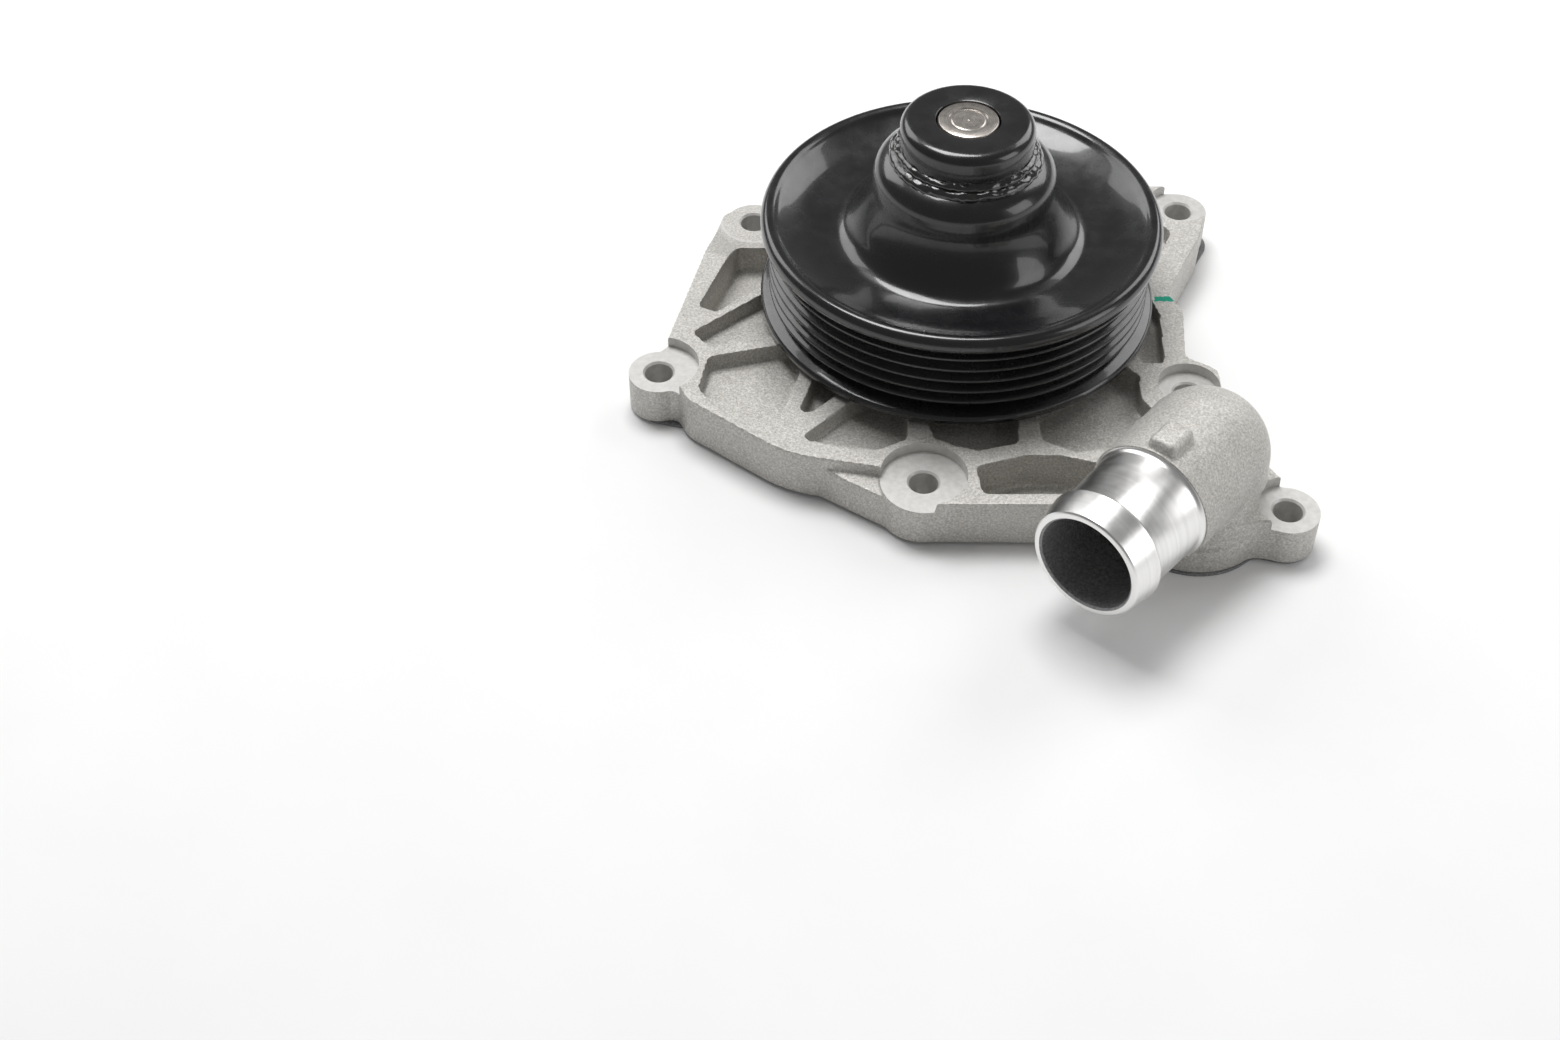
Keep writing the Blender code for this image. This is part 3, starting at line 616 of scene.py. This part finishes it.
def cored_aluminium():
    """The rough, dark skin left by a core inside the elbow."""
    m = Recipe("cored_aluminium", (0.3, 0.3, 0.295), 0.62, 0.8)
    grain = m.noise(0.7, 4.0, 0.75)
    m.colour(m.ramp(grain, [(0.3, 0.24), (0.55, 0.42), (0.78, 0.65)]))
    m.roughness(m.ramp(m.noise(2.0), [(0.3, 0.55), (0.7, 0.75)]))
    m.bump([(grain, 0.25)])
    return m.material


def machined_aluminium():
    m = Recipe("machined_face", (0.8, 0.79, 0.77), 0.42, 0.3)
    grain = m.noise(0.35, 3.0)
    m.colour(m.ramp(m.noise(1.6, 4.0), [(0.3, (0.56, 0.55, 0.53)), (0.7, (0.67, 0.66, 0.64))]))
    m.roughness(m.ramp(grain, [(0.3, 0.36), (0.7, 0.5)]))
    m.bump([(grain, 0.03)])
    return m.material


def turned_aluminium():
    """The hose spigot, with fine tool lines round its own axis."""
    m = Recipe("turned_aluminium", (0.86, 0.855, 0.84), 0.24, 1.0)
    along = m.add("ShaderNodeVectorMath", operation="DOT_PRODUCT")
    along.inputs[1].default_value = (math.cos(SPIGOT_AZIMUTH), math.sin(SPIGOT_AZIMUTH), 0.0)
    m.link(m.place, along, 0)
    distance = m.maths("MULTIPLY", along.outputs["Value"], 1.0 / MM)
    fine = m.lines(distance, 0.16)
    m.colour(m.ramp(m.lines(distance, 1.4), [(0.25, (0.8, 0.795, 0.78)), (0.75, (0.9, 0.895, 0.885))]))
    m.roughness(m.ramp(m.noise(3.0, 4.0), [(0.3, 0.28), (0.7, 0.34)]))
    m.bump([(fine, 0.0015)])
    return m.material


def pulley_paint():
    m = Recipe("black_gloss", (0.006, 0.006, 0.007), 0.26, 0.0, coat=0.6)
    speck = m.noise(0.55, 2.0)
    shadow, paint, dust = (0.005, 0.005, 0.006), (0.006, 0.006, 0.007), (0.05, 0.05, 0.048)
    m.colour(m.ramp(speck, [(0.0, shadow), (0.74, paint), (0.8, dust)]))
    m.roughness(m.ramp(m.noise(6.0, 4.0), [(0.3, 0.2), (0.7, 0.32)]))
    m.bump([(m.noise(3.0, 2.0), 0.008), (m.noise(0.5, 2.0), 0.004)])
    return m.material


def weld_paint():
    m = Recipe("weld_paint", (0.01, 0.01, 0.01), 0.2, 0.0, coat=0.8)
    grain = m.noise(0.9, 3.0, 0.6)
    m.colour(m.ramp(grain, [(0.3, (0.006, 0.006, 0.006)), (0.75, (0.02, 0.022, 0.018))]))
    m.roughness(m.ramp(m.noise(1.0), [(0.3, 0.1), (0.7, 0.24)]))
    m.bump([(grain, 0.1)])
    return m.material


def gasket_paper():
    m = Recipe("gasket_paper", (0.2, 0.2, 0.205), 0.9, 0.0)
    fibre = m.noise(0.5, 4.0, 0.8)
    fleck = m.noise(1.3, 3.0, 0.7)
    tone = m.ramp(fibre, [(0.32, 0.1), (0.5, 0.2), (0.68, 0.36)])
    m.colour(m.mix(m.ramp(fleck, [(0.4, 0.0), (0.7, 0.5)]), tone, (0.24, 0.25, 0.26)))
    m.roughness(m.ramp(fibre, [(0.3, 0.82), (0.7, 0.95)]))
    m.bump([(fibre, 0.06)])
    return m.material


def turned_steel(name, colour, roughness, pitch=0.12, depth=0.01):
    """Steel turned or ground about the shaft's axis."""
    m = Recipe(name, colour, roughness, 1.0)
    radius = m.axis_radius()
    parts = m.add("ShaderNodeSeparateXYZ")
    m.link(m.place, parts, 0)
    reach = m.maths("ADD", radius, m.maths("MULTIPLY", parts.outputs["Z"], 1.0 / MM))
    rings = m.lines(reach, pitch)
    stain = m.noise(1.8, 5.0, 0.65)
    dark = tuple(0.66 * c for c in colour)
    light = tuple(min(1.0, 1.15 * c) for c in colour)
    m.colour(m.ramp(stain, [(0.3, dark), (0.6, colour), (0.8, light)]))
    m.roughness(m.ramp(rings, [(0.3, max(roughness - 0.08, 0.08)), (0.7, roughness + 0.12)]))
    m.bump([(rings, depth)])
    return m.material


def speckled(name, colour, roughness, metallic, size=0.8, depth=0.03, spread=0.25):
    """A plain finish with slight cloudiness, grain and texture."""
    m = Recipe(name, colour, roughness, metallic)
    grain = m.noise(size, 4.0, 0.65)
    dark = tuple(c * (1 - spread) for c in colour)
    light = tuple(min(1.0, c * (1 + spread)) for c in colour)
    m.colour(m.ramp(grain, [(0.3, dark), (0.5, colour), (0.7, light)]))
    m.roughness(m.ramp(m.noise(size * 3), [(0.3, max(roughness - 0.08, 0.05)), (0.7, roughness + 0.08)]))
    m.bump([(grain, depth)])
    return m.material


CAST = cast_aluminium()
CORED = cored_aluminium()
MACHINED = machined_aluminium()
TURNED = turned_aluminium()
PAINT = pulley_paint()
WELD = weld_paint()
PAPER = gasket_paper()
SHAFT_STEEL = turned_steel("shaft_steel", (0.5, 0.465, 0.43), 0.3)
BEARING_STEEL = turned_steel("bearing_steel", (0.62, 0.62, 0.63), 0.18, 0.3, 0.004)


# Housing


def half_wall(name, x, y, inner, outer, start, end, low, high):
    """A curved wall round part of a spot face."""
    steps = 24
    points = []
    for radius, order in ((inner, range(steps + 1)), (outer, range(steps, -1, -1))):
        for k in order:
            angle = math.radians(start + (end - start) * k / steps)
            points.append((x + radius * math.cos(angle), y + radius * math.sin(angle)))
    return prism(name, points, low, high)


def sector(start, end, inner, outer):
    points = []
    steps = 12
    for radius, order in ((inner, range(steps + 1)), (outer, range(steps, -1, -1))):
        for k in order:
            angle = math.radians(start + (end - start) * k / steps)
            points.append((radius * math.cos(angle), radius * math.sin(angle)))
    return points


def casting_adders(foot):
    """Everything that stands out of the ribbed flange, before any machining."""
    adders = []
    for i, (x, y, _) in enumerate(MAIN_LUGS + PORT_LUGS):
        adders.append(cylinder(f"lug_{i}", x, y, LUG_R, foot, LUG_TOP_Z + SKIN))
    x, y, radius = MAIN_LUGS[2]
    adders.append(cylinder("front_boss", x, y, radius, foot, LUG_TOP_Z + SKIN))
    adders.append(half_wall("front_wall", x, y, 9.0, 13.1, 12, 168, 8.0, RIM_TOP_Z))
    ledge = [(-40.0, -61.6, 1.0), (-20.0, -60.0, 1.0), (-12.0, -78.5, 1.0), (-17.5, -76.8, 2.0)]
    adders.append(prism("front_ledge", rounded(ledge), foot, LEDGE_TOP_Z))
    tower = [
        (0.0, TOWER_TOP_Z),
        (TOWER_R - 1.0, TOWER_TOP_Z),
        (TOWER_R, TOWER_TOP_Z - 1.0),
        (TOWER_R + 1.4, 26.0),
        (TOWER_R + 4.0, 21.5),
        (38.0, 17.4),
        (41.2, 14.0),
        (45.0, BOWL_FLOOR_Z - 0.5),
        (45.0, 4.0),
        (0.0, 4.0),
    ]
    adders.append(lathe("tower", tower, steps=144))
    adders.append(cylinder("port_flange", PORT_X, PORT_Y, PORT_FLANGE_R, foot, 8.0, steps=120))
    leg = [(0, SPIGOT_AXIS_Z), (ELBOW_R, SPIGOT_AXIS_Z), (PORT_FLANGE_R - 0.4, 4.0), (0, 4.0)]
    adders.append(lathe("leg", leg, steps=120, matrix=Matrix.Translation((PORT_X * MM, PORT_Y * MM, 0))))
    arm = [
        (0, -22.0),
        (16.0, -22.0),
        (16.2, -27.4),
        (ELBOW_R, -44.0),
        (ELBOW_R, -SPIGOT_REACH),
        (0, -SPIGOT_REACH),
    ]
    adders.append(lathe("arm", arm, steps=120, matrix=spigot_matrix()))
    seam_r = ELBOW_R + 0.12
    seam = [(ELBOW_R - 1.0, -40.4), (seam_r, -40.9), (seam_r, -41.6), (ELBOW_R - 1.0, -42.1)]
    adders.append(lathe("seam", seam, steps=120, matrix=spigot_matrix()))
    adders.append(ball("dome", (PORT_X, PORT_Y, SPIGOT_AXIS_Z), ELBOW_R + 0.2, steps=120))
    shape = bmesh.new()
    bmesh.ops.create_cube(shape, size=1.0)
    bmesh.ops.scale(shape, verts=shape.verts, vec=Vector((9.5, 7.5, 8.0)) * MM)
    bmesh.ops.bevel(shape, geom=shape.edges[:], offset=1.6 * MM, segments=5, profile=0.5, affect="EDGES")
    place = spigot_matrix(32.5).translation + Vector((0.0, 0.0, ELBOW_R - 1.2)) * MM
    turn = Matrix.Translation(place) @ Matrix.Rotation(SPIGOT_AZIMUTH, 4, "Z")
    adders.append(object_from_bmesh("pad", shape, matrix=turn))
    adders.append(ball("nub", (72.5, -68.0, 10.4), 1.7, steps=24))
    return adders


def casting():
    """The blank: ribbed flange, bosses and cavities, softened like cast metal."""
    foot = BASE_Z - STOCK
    blank = prism("housing_casting", rounded(BODY_OUTLINE), foot, RIM_TOP_Z)
    pockets = [
        prism("pocket_" + name, rounded(corners), floor, RIM_TOP_Z + OVERSHOOT)
        for name, (corners, floor) in POCKETS.items()
    ]
    for i, (start, end, outer) in enumerate(BACK_SECTORS):
        outline = sector(start, end, SECTOR_INNER_R, outer)
        pockets.append(prism(f"back_{i}", outline, BOWL_FLOOR_Z, RIM_TOP_Z + OVERSHOOT))
    combine(blank, "DIFFERENCE", pockets)
    combine(blank, "UNION", casting_adders(foot))
    cavities = [prism("volute", volute_outline(), foot - 1, VOLUTE_ROOF_Z)]
    hollow = [(0, 13.0), (38.0, 13.0), (40.3, 9.5), (40.3, foot - 1), (0, foot - 1)]
    cavities.append(lathe("hollow", hollow, steps=144))
    combine(blank, "DIFFERENCE", cavities)
    remesh = blank.modifiers.new("remesh", "REMESH")
    remesh.mode = "VOXEL"
    remesh.voxel_size = VOXEL * MM
    apply_modifiers(blank)
    soften(blank, 2)
    return blank


def floor_weight(x, y, z):
    """How far a point lies in a fillet round a pocket's floor, from 0 to 1."""
    near = min(abs(z - (BOWL_FLOOR_Z + 0.9)) / 1.9, abs(z - (DEEP_FLOOR_Z + 0.9)) / 1.9)
    if near >= 1 or math.hypot(x, y) < 30:
        return 0.0
    for lug_x, lug_y, radius in MAIN_LUGS + PORT_LUGS:
        if math.hypot(x - lug_x, y - lug_y) < radius + 3:
            return 0.0
    if math.hypot(x - PORT_X, y - PORT_Y) < PORT_FLANGE_R + 2:
        return 0.0
    return 1.0 - near * near


def fillet_floors(obj):
    group = obj.vertex_groups.new(name="floors")
    for vertex in obj.data.vertices:
        x, y, z = vertex.co / MM
        weight = floor_weight(x, y, z)
        if weight > 0.05:
            group.add([vertex.index], weight, "REPLACE")
    soften(obj, 12, 0.5, "floors")
    obj.vertex_groups.clear()


def slope_rim(obj):
    """Runs the rim down to the upper left lug, where it ends flush with the lug's face."""
    lug_x, lug_y, _ = MAIN_LUGS[0]
    for vertex in obj.data.vertices:
        x, y, z = vertex.co / MM
        if z <= LUG_TOP_Z:
            continue
        share = min(max((math.hypot(x - lug_x, y - lug_y) - 9.0) / 13.0, 0.0), 1.0)
        share = share * share * (3 - 2 * share)
        if share < 1.0 and z < RIM_TOP_Z + 0.5:
            vertex.co.z = (LUG_TOP_Z + (z - LUG_TOP_Z) * share) * MM


def hole_cutter(name, x, y, low, top, material):
    """A drilled bolt hole with a small chamfer at each end."""
    wide = BOLT_HOLE_R + 0.5
    profile = [
        (0, top + 20),
        (wide, top + 20),
        (wide, top),
        (BOLT_HOLE_R, top - 0.5),
        (BOLT_HOLE_R, low + 0.4),
        (wide, low),
        (wide, low - 5),
        (0, low - 5),
    ]
    return lathe(name, profile, material, 64, Matrix.Translation((x * MM, y * MM, 0)))


def machine(housing):
    """Cuts every machined surface of the casting, so that each gets a crisp edge and its own finish."""
    slab = [(-120, -130), (120, -130), (120, 110), (-120, 110)]
    cuts = [prism("mounting_face", slab, BASE_Z - 20, BASE_Z, MACHINED)]
    cuts.append(cylinder("spigot_room", 0, 0, 18.6, -27.0, 20.0, CAST, matrix=spigot_matrix()))
    combine(housing, "DIFFERENCE", cuts)
    spigot = [
        (0, 0),
        (13.9, 0),
        (14.3, -0.12),
        (14.6, -0.45),
        (15.65, -7.0),
        (15.75, -7.9),
        (15.4, -8.5),
        (14.75, -8.9),
        (14.6, -9.4),
        (15.0, -25.4),
        (15.15, -26.2),
        (15.6, -26.9),
        (16.1, -27.2),
        (16.1, -31.0),
        (0, -31.0),
    ]
    combine(housing, "UNION", [lathe("spigot", spigot, TURNED, 160, spigot_matrix())])
    bore = [
        (0, 5),
        (SPIGOT_BORE_R + 0.5, 5),
        (SPIGOT_BORE_R + 0.5, 0),
        (SPIGOT_BORE_R, -0.5),
        (SPIGOT_BORE_R, -SPIGOT_REACH),
        (0, -SPIGOT_REACH),
    ]
    cuts = [lathe("spigot_bore", bore, CORED, 128, spigot_matrix())]
    cuts.append(cylinder("port", PORT_X, PORT_Y, PORT_R, BASE_Z - 5, SPIGOT_AXIS_Z, CORED, 128))
    cuts.append(ball("elbow_corner", (PORT_X, PORT_Y, SPIGOT_AXIS_Z), PORT_R + 0.05, CORED, 96))
    combine(housing, "DIFFERENCE", cuts)
    cuts = [
        cylinder(f"spot_face_{i}", x, y, radius, LUG_TOP_Z, RIM_TOP_Z + OVERSHOOT, MACHINED, 96)
        for i, (x, y, radius) in enumerate(MAIN_LUGS + PORT_LUGS)
    ]
    combine(housing, "DIFFERENCE", cuts)
    cuts = [
        hole_cutter(f"bolt_hole_{i}", x, y, BASE_Z, LUG_TOP_Z, MACHINED)
        for i, (x, y, _) in enumerate(MAIN_LUGS + PORT_LUGS)
    ]
    chamber = [
        (0, CHAMBER_ROOF_Z),
        (CHAMBER_R - 2.5, CHAMBER_ROOF_Z),
        (CHAMBER_R, 9.5),
        (CHAMBER_R, BASE_Z - 5),
        (0, BASE_Z - 5),
    ]
    cuts.append(lathe("chamber", chamber, MACHINED, 144))
    cuts.append(cylinder("seal_bore", 0, 0, 16.0 + GAP, CHAMBER_ROOF_Z - 2.0, 19.6, MACHINED, 96))
    cuts.append(cylinder("shaft_passage", 0, 0, 12.5, 15.0, BEARING_Z[0] + 2.0, CORED, 96))
    mouth = TOWER_TOP_Z + OVERSHOOT
    cuts.append(cylinder("bearing_bore", 0, 0, BEARING_R + GAP, BEARING_Z[0] - GAP, mouth, MACHINED, 96))
    turn = Matrix.Translation((0, 0, 21.7 * MM)) @ Matrix.Rotation(math.radians(90), 4, "X")
    cuts.append(cylinder("weep_hole", 0, 0, 1.6, 0.0, 36.0, MACHINED, 32, turn))
    combine(housing, "DIFFERENCE", cuts)


def make_housing():
    housing = casting()
    fillet_floors(housing)
    slope_rim(housing)
    housing.data.materials.clear()
    housing.data.materials.append(CAST)
    machine(housing)
    shade(housing, 32)
    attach(housing, "housing")
    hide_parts("housing")


# Gaskets


def make_gasket(name, outline, holes):
    """A stamped sheet with a slightly rolled edge."""
    curve = bpy.data.curves.new(name + "_sheet", "CURVE")
    curve.dimensions = "2D"
    curve.fill_mode = "BOTH"
    edge = 0.08
    curve.extrude = (GASKET_THICKNESS / 2 - edge) * MM
    curve.bevel_depth = edge * MM
    curve.bevel_resolution = 1
    curve.offset = -edge * MM
    for loop in [outline, *holes]:
        spline = curve.splines.new("POLY")
        spline.points.add(len(loop) - 1)
        for point, (x, y) in zip(spline.points, loop):
            point.co = (x * MM, y * MM, 0, 1)
        spline.use_cyclic_u = True
    guide = bpy.data.objects.new(name + "_guide", curve)
    bpy.context.scene.collection.objects.link(guide)
    graph = bpy.context.evaluated_depsgraph_get()
    mesh = bpy.data.meshes.new_from_object(guide.evaluated_get(graph))
    bpy.data.objects.remove(guide)
    mesh.transform(Matrix.Translation((0, 0, GASKET_THICKNESS / 2 * MM)))
    shape = bmesh.new()
    shape.from_mesh(mesh)
    bmesh.ops.remove_doubles(shape, verts=shape.verts, dist=0.004 * MM)
    sheet = object_from_bmesh(name + "_sheet", shape, PAPER)
    shade(sheet)
    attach(sheet, "housing")
    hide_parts(name)


def make_gaskets():
    holes = [circle_points(x, y, BOLT_HOLE_R + 0.2) for x, y, _ in MAIN_LUGS]
    make_gasket("main_gasket", rounded(MAIN_GASKET_OUTLINE), [volute_outline(), *holes])
    holes = [circle_points(x, y, BOLT_HOLE_R + 0.2) for x, y, _ in PORT_LUGS]
    holes.append(circle_points(PORT_X, PORT_Y, PORT_R, 96))
    make_gasket("port_gasket", rounded(PORT_GASKET_OUTLINE), holes)


# Rotor


def on_rotor(obj, node, angle=35):
    shade(obj, angle)
    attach(obj, "rotor")
    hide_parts(node)


def make_shaft():
    top = SHAFT_NOSE_Z
    nose = [
        (0, top - 0.5),
        (0.35, top - 0.15),
        (4.1, top - 0.12),
        (4.45, top - 0.3),
        (4.9, top - 0.3),
        (5.2, top),
        (SHAFT_R - 0.75, top),
        (SHAFT_R - 0.3, top - 0.15),
        (SHAFT_R, top - 0.7),
    ]
    groove = 0.55
    body = [
        (SHAFT_R, 32.0),
        (SHAFT_R - groove, 31.0),
        (SHAFT_R - groove, 29.0),
        (SHAFT_R, 28.0),
        (SHAFT_R, 1.0),
        (SHAFT_R - 1.0, 0.0),
        (0, 0.0),
    ]
    on_rotor(lathe("shaft_turned", nose + body, SHAFT_STEEL, 96), "shaft", 25)


def make_hub():
    edge = 2.8
    turns = [math.radians(a) for a in range(0, 91, 9)]
    corner = [(HUB_R - edge + edge * math.sin(a), SHAFT_NOSE_Z - edge + edge * math.cos(a)) for a in turns]
    profile = [
        *corner,
        (HUB_R, 64.2),
        (HUB_R - 0.4, HUB_BOTTOM_Z + 1.0),
        (HUB_R - 1.4, HUB_BOTTOM_Z),
        (SHAFT_R + GAP, HUB_BOTTOM_Z),
        (SHAFT_R + GAP, SHAFT_NOSE_Z - 0.35),
        (SHAFT_R + GAP + 0.1, SHAFT_NOSE_Z - 0.1),
        (SHAFT_R + GAP + 0.35, SHAFT_NOSE_Z),
    ]
    on_rotor(lathe("pulley_hub_turned", profile, PAINT, 144), "pulley_hub")


def weld_ripple(angle, radius, height):
    """Moves a point of the bead's section, so that the bead is uneven along its length."""
    at = Vector((math.cos(angle) * 14, math.sin(angle) * 14, height * 1.7))
    coarse = noise.noise(at * 0.35)
    fine = noise.noise(at * 0.6 + Vector((9, 3, 5)))
    scales = abs(math.sin(angle * 19 + 2.5 * coarse + height))
    swell = 0.3 * coarse + 0.22 * fine + 0.18 * scales
    if radius <= HUB_R + 0.2:
        return radius, height
    return radius + swell, height + 0.45 * coarse + 0.2 * fine


def make_weld():
    section = [
        (HUB_R - 0.2, 65.0),
        (HUB_R + 0.45, 64.7),
        (HUB_R + 0.95, 64.3),
        (HUB_R + 1.1, 63.8),
        (HUB_R + 0.9, 63.35),
        (HUB_R + 1.25, 63.2),
        (HUB_R + 1.85, 62.95),
        (HUB_R + 2.3, 62.4),
        (HUB_R + 2.45, 61.8),
        (HUB_R + 2.3, 61.0),
        (HUB_R - 0.2, 61.0),
    ]
    bead = lathe("weld_bead_run", section, WELD, 480, bump=weld_ripple)
    on_rotor(bead, "weld_bead", 70)


def rim_grooves():
    """The belt track from the upper flange down, as corners (radius, height, corner radius)."""
    flat = 0.35
    ridges = [FIRST_RIDGE_Z - RIB_PITCH * k for k in range(RIB_COUNT - 1)]
    corners = [(RIB_ROOT_R, ridges[0] + RIB_PITCH / 2 + flat, 0.25)]
    for z in ridges:
        corners.append((RIB_ROOT_R, z + RIB_PITCH / 2 - flat, 0.25))
        corners.append((RIB_TIP_R, z + flat, 0.3))
        corners.append((RIB_TIP_R, z - flat, 0.3))
        corners.append((RIB_ROOT_R, z - RIB_PITCH / 2 + flat, 0.25))
    corners.append((RIB_ROOT_R, ridges[-1] - RIB_PITCH / 2 - flat / 2, 0.25))
    return corners


def make_pulley():
    bell = [
        (HUB_R + 0.5, 61.7),
        (HUB_R + 2.2, 61.5),
        (21.8, 60.0),
        (23.3, 57.8),
        (23.8, 55.0),
        (24.4, 51.0),
        (25.8, 47.0),
        (27.8, 43.0),
        (29.4, 40.4),
        (31.4, 38.8),
        (34.5, 38.3),
        (42.0, 39.6),
        (47.5, 41.8),
        (49.6, 43.2),
        (51.2, 43.4),
        (52.4, 42.5),
        (RIM_R, 41.0),
        (52.5, 39.7),
        (51.4, 39.0),
    ]
    foot = [
        (51.2, 18.6, 0.8),
        (52.4, 18.2, 0.5),
        (RIM_R, 17.4, 0.3),
        (RIM_R - 0.1, 16.3, 0.4),
        (52.0, RIM_BOTTOM_Z, 0.5),
        (49.8, RIM_BOTTOM_Z + 0.2, 1.0),
        (47.2, RIM_BOTTOM_Z + 0.9, 1.0),
        (RIM_INNER_R, RIM_BOTTOM_Z + 2.6, 1.5),
        (RIM_INNER_R, 37.6, 0.6),
    ]
    inside = [
        (42.0, 37.0),
        (34.6, 35.7),
        (30.6, 36.3),
        (27.6, 38.6),
        (25.6, 41.8),
        (23.4, 46.2),
        (21.9, 50.6),
        (21.2, 54.8),
        (20.7, 56.9),
        (19.7, 58.4),
        (HUB_R + 0.5, 59.2),
    ]
    track = rounded([(47.0, 39.0, 0), *rim_grooves(), *foot, (42.0, 37.5, 0)], 22)[1:-1]
    profile = flowing(bell, 5) + track + flowing(inside, 3)
    on_rotor(lathe("pulley_spun", profile, PAINT, 192), "pulley", 50)


# Hidden pieces keep their CAD shapes, with real finishes


def finish_cad_nodes():
    brass = turned_steel("seal_brass", (0.72, 0.53, 0.24), 0.32, 0.4, 0.01)
    spring = speckled("spring_steel", (0.45, 0.45, 0.46), 0.3, 1.0, 0.4, 0.01, 0.15)
    impeller = speckled("impeller_metal", (0.36, 0.35, 0.34), 0.5, 0.9, 0.7, 0.08, 0.3)
    carbon = speckled("seal_carbon", (0.045, 0.045, 0.047), 0.42, 0.0, 0.3, 0.01, 0.3)
    ceramic = speckled("seal_ceramic", (0.82, 0.81, 0.77), 0.2, 0.0, 1.2, 0.005, 0.06)
    rubber = speckled("seal_rubber", (0.022, 0.022, 0.022), 0.65, 0.0, 0.5, 0.03, 0.35)
    nylon = speckled("cage_plastic", (0.68, 0.62, 0.46), 0.45, 0.0, 1.5, 0.01, 0.1)
    finishes = {
        "bearing_race": BEARING_STEEL,
        "front_bearing_seal": rubber,
        "rear_bearing_seal": rubber,
        "seal_bellows": rubber,
        "seal_cup": brass,
        "seal_spring": spring,
        "seal_face": carbon,
        "seal_seat": ceramic,
        "impeller": impeller,
        "ball_cage": nylon,
        "roller_cage": nylon,
    }
    for name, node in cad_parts.items():
        finish = finishes.get(name)
        if finish is None and name.startswith(("ball_", "roller_")):
            finish = BEARING_STEEL
        if finish is None:
            continue
        node.data.materials.clear()
        node.data.materials.append(finish)
        if name in ("impeller", "seal_cup", "bearing_race"):
            weld = node.modifiers.new("weld", "WELD")
            weld.merge_threshold = 0.002 * MM
            bevel = node.modifiers.new("edges", "BEVEL")
            bevel.width = 0.3 * MM
            bevel.segments = 2
            bevel.limit_method = "ANGLE"
            bevel.angle_limit = math.radians(40)


# Studio


def area_light(name, place, target, size, power):
    light = bpy.data.lights.new(name, "AREA")
    light.shape = "RECTANGLE"
    light.size, light.size_y = size
    light.energy = power
    obj = bpy.data.objects.new(name, light)
    obj.location = place
    obj.rotation_euler = (Vector(target) - Vector(place)).to_track_quat("-Z", "Y").to_euler()
    bpy.context.scene.collection.objects.link(obj)


def make_studio():
    shape = bmesh.new()
    bmesh.ops.create_grid(shape, x_segments=2, y_segments=2, size=3.0)
    floor_mix = Recipe("studio_floor", (0.9, 0.9, 0.9), 0.8, 0.0)
    floor_mix.colour(floor_mix.ramp(floor_mix.noise(40.0), [(0.3, 0.89), (0.7, 0.91)]))
    floor = object_from_bmesh("studio_floor", shape, floor_mix.material)
    world = bpy.data.worlds.new("studio")
    world.use_nodes = True
    world.node_tree.nodes["Background"].inputs["Color"].default_value = (1.0, 1.0, 1.0, 1.0)
    world.node_tree.nodes["Background"].inputs["Strength"].default_value = 0.2
    bpy.context.scene.world = world
    middle = (0.0, -0.02, 0.02)
    area_light("key", (-0.15, 0.3, 1.05), middle, (0.6, 0.45), 9.0)
    area_light("back_left", (-0.75, 0.75, 0.75), middle, (0.7, 0.7), 4.5)
    area_light("back_right", (0.8, 0.7, 0.75), middle, (0.7, 0.7), 4.5)
    area_light("side_right", (0.9, -0.35, 0.4), middle, (0.5, 0.6), 2.0)


def make_camera():
    camera = bpy.data.cameras.new("camera")
    camera.sensor_width = 36.0
    camera.lens = 49.32
    obj = bpy.data.objects.new("camera", camera)
    obj.location = (-0.0477, -0.4510, 0.3868)
    obj.rotation_euler = (math.radians(90 - 45.49), 0, 0)
    bpy.context.scene.collection.objects.link(obj)
    bpy.context.scene.camera = obj
    bpy.context.scene.view_settings.view_transform = "Standard"


make_camera()
make_housing()
make_gaskets()
make_shaft()
make_hub()
make_weld()
make_pulley()
finish_cad_nodes()
make_studio()
